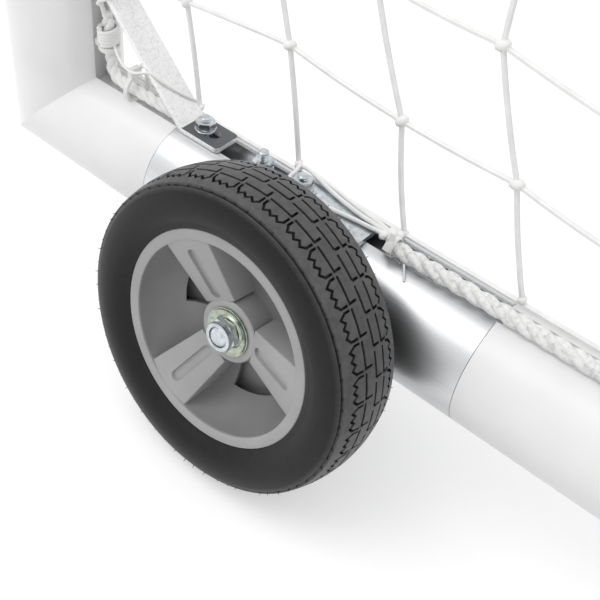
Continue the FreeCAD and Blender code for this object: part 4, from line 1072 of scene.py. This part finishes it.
# Lashings at the front corners: rope from the post to the brace's foot, a whipping round it, thin cords
# and knots. Drawn for the right-hand side and mirrored for the left.
lashingSet = {
    "rope": ((1423, -538, 243), (1424, -539, 226), (1422, -538, 205), (1422, -537, 192), (1423, -530, 187),
             (1425, -516, 188), (1425, -497, 188.6), (1425, -474, 188.2), (1422, -458, 185),
             (1421, -450, 183)),
    "ropeRadius": 5.6, "ropeLay": 34, "hairs": 60,
    "whipping": {"centre": (1424, -537.5, 229), "radii": (9.5, 6.84), "turns": 5, "steps": 12, "height": 15,
                 "cord": 1.9},
    "lump": (1.05, 0.62, 0.7), "lumpTurn": 1.1, "lumpAxis": (1, 0.4, 0.7),
    "cords": (
        (2.1, ((1427, -546, 288), (1428, -543, 262), (1425, -540, 246), (1424, -538, 236))),
        (2.1, ((1416, -546, 288), (1414, -543, 264), (1418, -540, 247), (1422, -538, 236))),
        (1.7, ((1410, -545, 289), (1411, -529, 284), (1420, -520, 281), (1433, -522, 279), (1437, -529, 276),
               (1434, -538, 272), (1424, -543, 268), (1412, -541, 270), (1405, -532, 275), (1409, -522, 281),
               (1425, -517, 279), (1437, -521, 274), (1436, -535, 266), (1428, -542, 258))),
        (1.3, ((1424, -532, 222), (1430, -519, 213), (1436, -497, 213), (1438, -480, 223),
               (1436, -473, 225.5), (1428.4, -463.5, 214.6), (1413.8, -450.9, 202), (1406.6, -447, 197),
               (1404.5, -445, 190))),
        (1.9, ((1405, -336, 190), (1404, -326, 192), (1406.5, -312, 190), (1411, -294, 189),
               (1416, -266, 188.9), (1418, -242, 189.5), (1420, -232, 191))),
        (1.9, ((1407, -334, 194), (1402.5, -318, 189), (1404, -296, 187.5), (1410.5, -270, 188.9),
               (1412.5, -247, 188.6), (1416, -232, 189))),
        (1.8, ((1406, -332, 193), (1413, -329, 192), (1425, -329.5, 190), (1434, -318, 188.8),
               (1432, -302, 188.8), (1425, -274, 188.8), (1422, -246, 189), (1422, -233, 190))),
        (0.9, ((1434, -208, 186), (1438, -204, 183), (1442, -201, 179)))),
    "knots": ((1405, -334, 192, 4.6), (1419, -231, 191.5, 5.4), (1414, -227, 189.5, 4.6),
              (1424, -235, 190.5, 4.2), (1404.3, -445, 190, 4.4), (1422, -541, 246, 5),
              (1428, -542, 259, 4.2))}


def whippingTurns(sizes):
    # a cord wound in close turns round an upright rope
    (x, y, z), (wide, deep) = sizes["centre"], sizes["radii"]
    spots, count = [], sizes["steps"] * sizes["turns"]
    for step in range(count + 1):
        turn = math.tau * step / sizes["steps"]
        rise = sizes["height"] * (step / count - 0.5)
        spots.append(Vector((x + wide * math.cos(turn), y + deep * math.sin(turn), z + rise)))
    return spots


def lashings(sizes):
    bm = bmesh.new()
    for x, y, z, size in sizes["knots"]:
        for turn in (0, 1, 2):
            lump = (Matrix.Translation((x, y, z))
                    @ Matrix.Rotation(turn * sizes["lumpTurn"], 4, sizes["lumpAxis"])
                    @ Matrix.Diagonal((*sizes["lump"], 1)))
            bmesh.ops.create_uvsphere(bm, u_segments=10, v_segments=7, radius=size, matrix=lump)
    for radius, points in sizes["cords"]:
        tubeAlong(bm, [spot / mm for spot in smoothRoute(points)], radius)
    tubeAlong(bm, whippingTurns(sizes["whipping"]), sizes["whipping"]["cord"])
    twistedRope(bm, [spot / mm for spot in smoothRoute(sizes["rope"])], sizes["ropeRadius"],
                sizes["ropeLay"], random.Random(3), sizes["hairs"])
    faceOut(bm)
    return meshOf(bm, "lashings")


lashingShape = lashings(lashingSet)
for side, sign in sideSigns:
    piece = setOut(lashingShape, [Matrix.Diagonal((sign, 1, 1, 1))], "netLashings_" + side, twineFinish, 60)
    joinBody(piece)

# Loose cable ties at the same corners: one round the rope on the bar, one round the whipping.
cornerTieSet = {"places": ((1423.5, -503.7, 191, 1.72, 0), (1424, -537.5, 217, 1.15, 1.45))}


def cornerTies(sizes):
    places = []
    for sign in (1, -1):
        for x, y, z, size, tip in sizes["places"]:
            places.append(Matrix.Translation((sign * x, y, z)) @ Matrix.Rotation(math.pi / 2, 4, "Z")
                          @ Matrix.Rotation(-tip, 4, "Y") @ Matrix.Diagonal((1, size, size, 1)))
    joinBody(setOut(cableTie(tieSet), places, "cornerTies", tieFinish))


cornerTies(cornerTieSet)
print("ropes made")


# Each panel is laid out flat in its own frame, as the CAD is: an origin, a way along and a way up.
netSet = {"twine": 4.6, "knot": 5.6, "knotShape": (1.15, 0.8, 0.85), "knotTurn": (0.3, 1.1), "endKnot": 3.92,
          "inset": 16.5, "hemIn": 3.45, "mesh": 101.6, "steps": 5, "wander": 2.6, "bow": 2.2, "bowFrom": 40,
          "lineClear": 0.2, "knotClear": 0.25,  # shares of a cell that stay free along the border
          "sideBorder": ((-551, 180.96), (549.7, 180.96), (-15.9, 1395.9), (-551, 1395.9)),
          "sideFirst": (-440, 282.56), "sideSway": 46,
          "topBorder": ((-1395.9, -551), (1395.9, -551), (1395.9, -24.9), (-1395.9, -24.9)),
          "topCells": (27, 5), "topSway": 6,
          "backBorder": ((0.15, 49), (1363.9, 49), (1395.9, 81), (1395.9, 1396.8), (0.15, 1396.8)),
          "backCells": (14, 13), "backSway": 9, "backFoot": (0, 600, 131.96),
          "backUp": (0, -0.42204, 0.90658)}
# Knots of the right-hand panel that the camera sees: (column, rank) to (along, up)
seenKnots = {(0, -1): (-446, 190), (1, -1): (-334, 188), (2, -1): (-228.6, 184), (3, -1): (-126, 187),
             (0, 0): (-462.6, 283), (1, 0): (-354, 292.2), (2, 0): (-248, 278.1), (3, 0): (-153.4, 276.3),
             (4, 0): (-58, 262), (1, 1): (-384, 392), (2, 1): (-286, 373), (3, 1): (-187, 367.3),
             (4, 1): (-98, 350), (0, 1): (-487, 384)}


def extentOf(border):
    return [(min(values), max(values)) for values in zip(*border)]


def clipLine(border, axis, level):
    # where a line at one level crosses a convex outline
    found = []
    for a, b in zip(border, border[1:] + border[:1]):
        if (a[axis] - level) * (b[axis] - level) < 0:
            share = (level - a[axis]) / (b[axis] - a[axis])
            found.append(a[1 - axis] + share * (b[1 - axis] - a[1 - axis]))
    return (min(found), max(found)) if len(found) == 2 else None


def knotSpot(panel, mark):
    # where the camera sees a knot, or else its even place with a little wander and, inside, a lean
    if mark in panel["knots"]:
        return panel["knots"][mark]
    along, up = [start + count * step for start, count, step in zip(panel["first"], mark, panel["pitch"])]
    (left, right), (foot, top) = extentOf(panel["border"])
    fade = min(1, max(0, min(along - left, right - along, up - foot, top - up) / netSet["mesh"]))
    lean = panel["sway"] * fade * fade * (3 - 2 * fade)
    mix = random.Random(mark[0] * 71 + mark[1] * 37 + len(panel["name"]))
    wander = netSet["wander"]
    return along - lean + mix.uniform(-wander, wander), up + mix.uniform(-wander, wander)


def linesWithin(span, first, pitch, clear):
    # the counts of the even lines that fall inside a span and clear of its ends
    low, high = [(reach - first) / pitch for reach in span]
    return range(math.ceil(low + clear), math.floor(high - clear) + 1)


def layStrings(panel):
    # each string's spots from border to border, and the marks of all the knots
    border, first, pitch = [panel[key] for key in ("border", "first", "pitch")]
    strings, found = [], set()
    for axis, other in ((0, 1), (1, 0)):
        for line in linesWithin(extentOf(border)[axis], first[axis], pitch[axis], netSet["lineClear"]):
            level = first[axis] + line * pitch[axis]
            span = clipLine(border, axis, level)
            if not span:
                continue
            ranks = linesWithin(span, first[other], pitch[other], netSet["knotClear"])
            marks = [(rank, line) if axis else (line, rank) for rank in ranks]
            start, end = [(reach, level) if axis else (level, reach) for reach in span]
            if not axis:
                start = panel["knots"].get((line, -1), start)
            strings.append([start, *[knotSpot(panel, mark) for mark in marks], end])
            found.update(marks)
    return strings, sorted(found)


def bowedString(string, chance):
    # a string with each run between its knots bowed a little to one side
    spots, bow = [], netSet["bow"]
    for (x0, y0), (x1, y1) in zip(string, string[1:]):
        run = math.hypot(x1 - x0, y1 - y0)
        steps = max(1, round(netSet["steps"] * run / netSet["mesh"]))
        most = chance.uniform(-bow, bow) if run > netSet["bowFrom"] and steps > 1 else 0
        for step in range(steps):
            share = step / steps
            aside = most * math.sin(math.pi * share)
            spots.append((x0 + (x1 - x0) * share - (y1 - y0) / run * aside,
                          y0 + (y1 - y0) * share + (x1 - x0) / run * aside))
    return spots + string[-1:]


def twineLines(name, lines):
    # the mesh of a round twine along flat lines
    curve = bpy.data.curves.new(name, "CURVE")
    curve.dimensions = "3D"
    curve.bevel_depth, curve.bevel_resolution = netSet["twine"] / 2, 1
    for spots in lines:
        line = curve.splines.new("POLY")
        line.points.add(len(spots) - 1)
        for point, (along, up) in zip(line.points, spots):
            point.co = (along, up, 0, 1)
    holder = bpy.data.objects.new(name, curve)
    drawn = bpy.data.meshes.new_from_object(holder)
    bpy.data.objects.remove(holder)
    return drawn


def netPanel(name, node, place, border, first, pitch, sway, knots):
    panel = {"name": name, "border": list(border), "first": first, "pitch": pitch, "sway": sway,
             "knots": knots}
    strings, marks = layStrings(panel)
    corners = [Vector(spot) for spot in border]
    middle = sum(corners, Vector((0, 0))) / len(corners)
    hem = [tuple(spot + (middle - spot).normalized() * netSet["hemIn"]) for spot in corners]

    bm = bmesh.new()
    for mark in marks:
        mix = random.Random(mark[0] * 13 + mark[1])
        lump = (Matrix.Translation((*knotSpot(panel, mark), 0))
                @ Matrix.Rotation(mix.uniform(*netSet["knotTurn"]), 4, "Z")
                @ Matrix.Diagonal((*netSet["knotShape"], 1)))
        bmesh.ops.create_uvsphere(bm, u_segments=7, v_segments=5, radius=netSet["knot"], matrix=lump)
    for string in strings:
        for spot in (string[0], string[-1]):
            bmesh.ops.create_uvsphere(bm, u_segments=6, v_segments=4, radius=netSet["endKnot"],
                                      matrix=Matrix.Translation((*spot, 0)))
    chance = random.Random(len(name))
    bowed = [bowedString(string, chance) for string in strings]
    bm.from_mesh(twineLines(name, bowed + [hem + hem[:1]]))
    bmesh.ops.transform(bm, matrix=place, verts=bm.verts)
    joinBody(finishPiece(bm, name, twineFinish, 60), node)


def flatFrame(origin, along, up):
    # matrix from a panel's own frame in millimetres to the object's in metres
    across = Vector(along).cross(Vector(up))
    turn = Matrix((Vector(along), Vector(up), across)).transposed().to_4x4()
    return Matrix.Scale(mm, 4) @ Matrix.Translation(Vector(origin)) @ turn


def evenPitch(border, cells):
    # the mesh that fits a whole number of cells into a border
    return [(high - low) / count for (low, high), count in zip(extentOf(border), cells)]


def nets(sizes):
    inset, border, foot, up = sizes["inset"], sizes["backBorder"], sizes["backFoot"], sizes["backUp"]
    backFrame = flatFrame((0, foot[1] - inset * up[2], foot[2] + inset * up[1]), (1, 0, 0), up)
    for side, sign in sideSigns:
        sideFrame = flatFrame((sign * (frameSet["postX"] - inset), 0, 0), (0, 1, 0), (0, 0, 1))
        netPanel("sideNet_" + side, "net_side_" + side, sideFrame, sizes["sideBorder"], sizes["sideFirst"],
                 (sizes["mesh"], sizes["mesh"]), sizes["sideSway"], seenKnots if sign > 0 else {})
        facing = border if sign > 0 else [(-x, y) for x, y in reversed(border)]
        netPanel("backNet_" + side, "net_back_" + side, backFrame, facing,
                 (sign * border[0][0], border[0][1]), evenPitch(border, sizes["backCells"]),
                 sizes["backSway"], {})
    border = sizes["topBorder"]
    topFrame = flatFrame((0, 0, frameSet["crossbarZ"] - inset), (1, 0, 0), (0, 1, 0))
    netPanel("topNet", "net_top", topFrame, border, border[0], evenPitch(border, sizes["topCells"]),
             sizes["topSway"], {})


nets(netSet)
print("nets made")
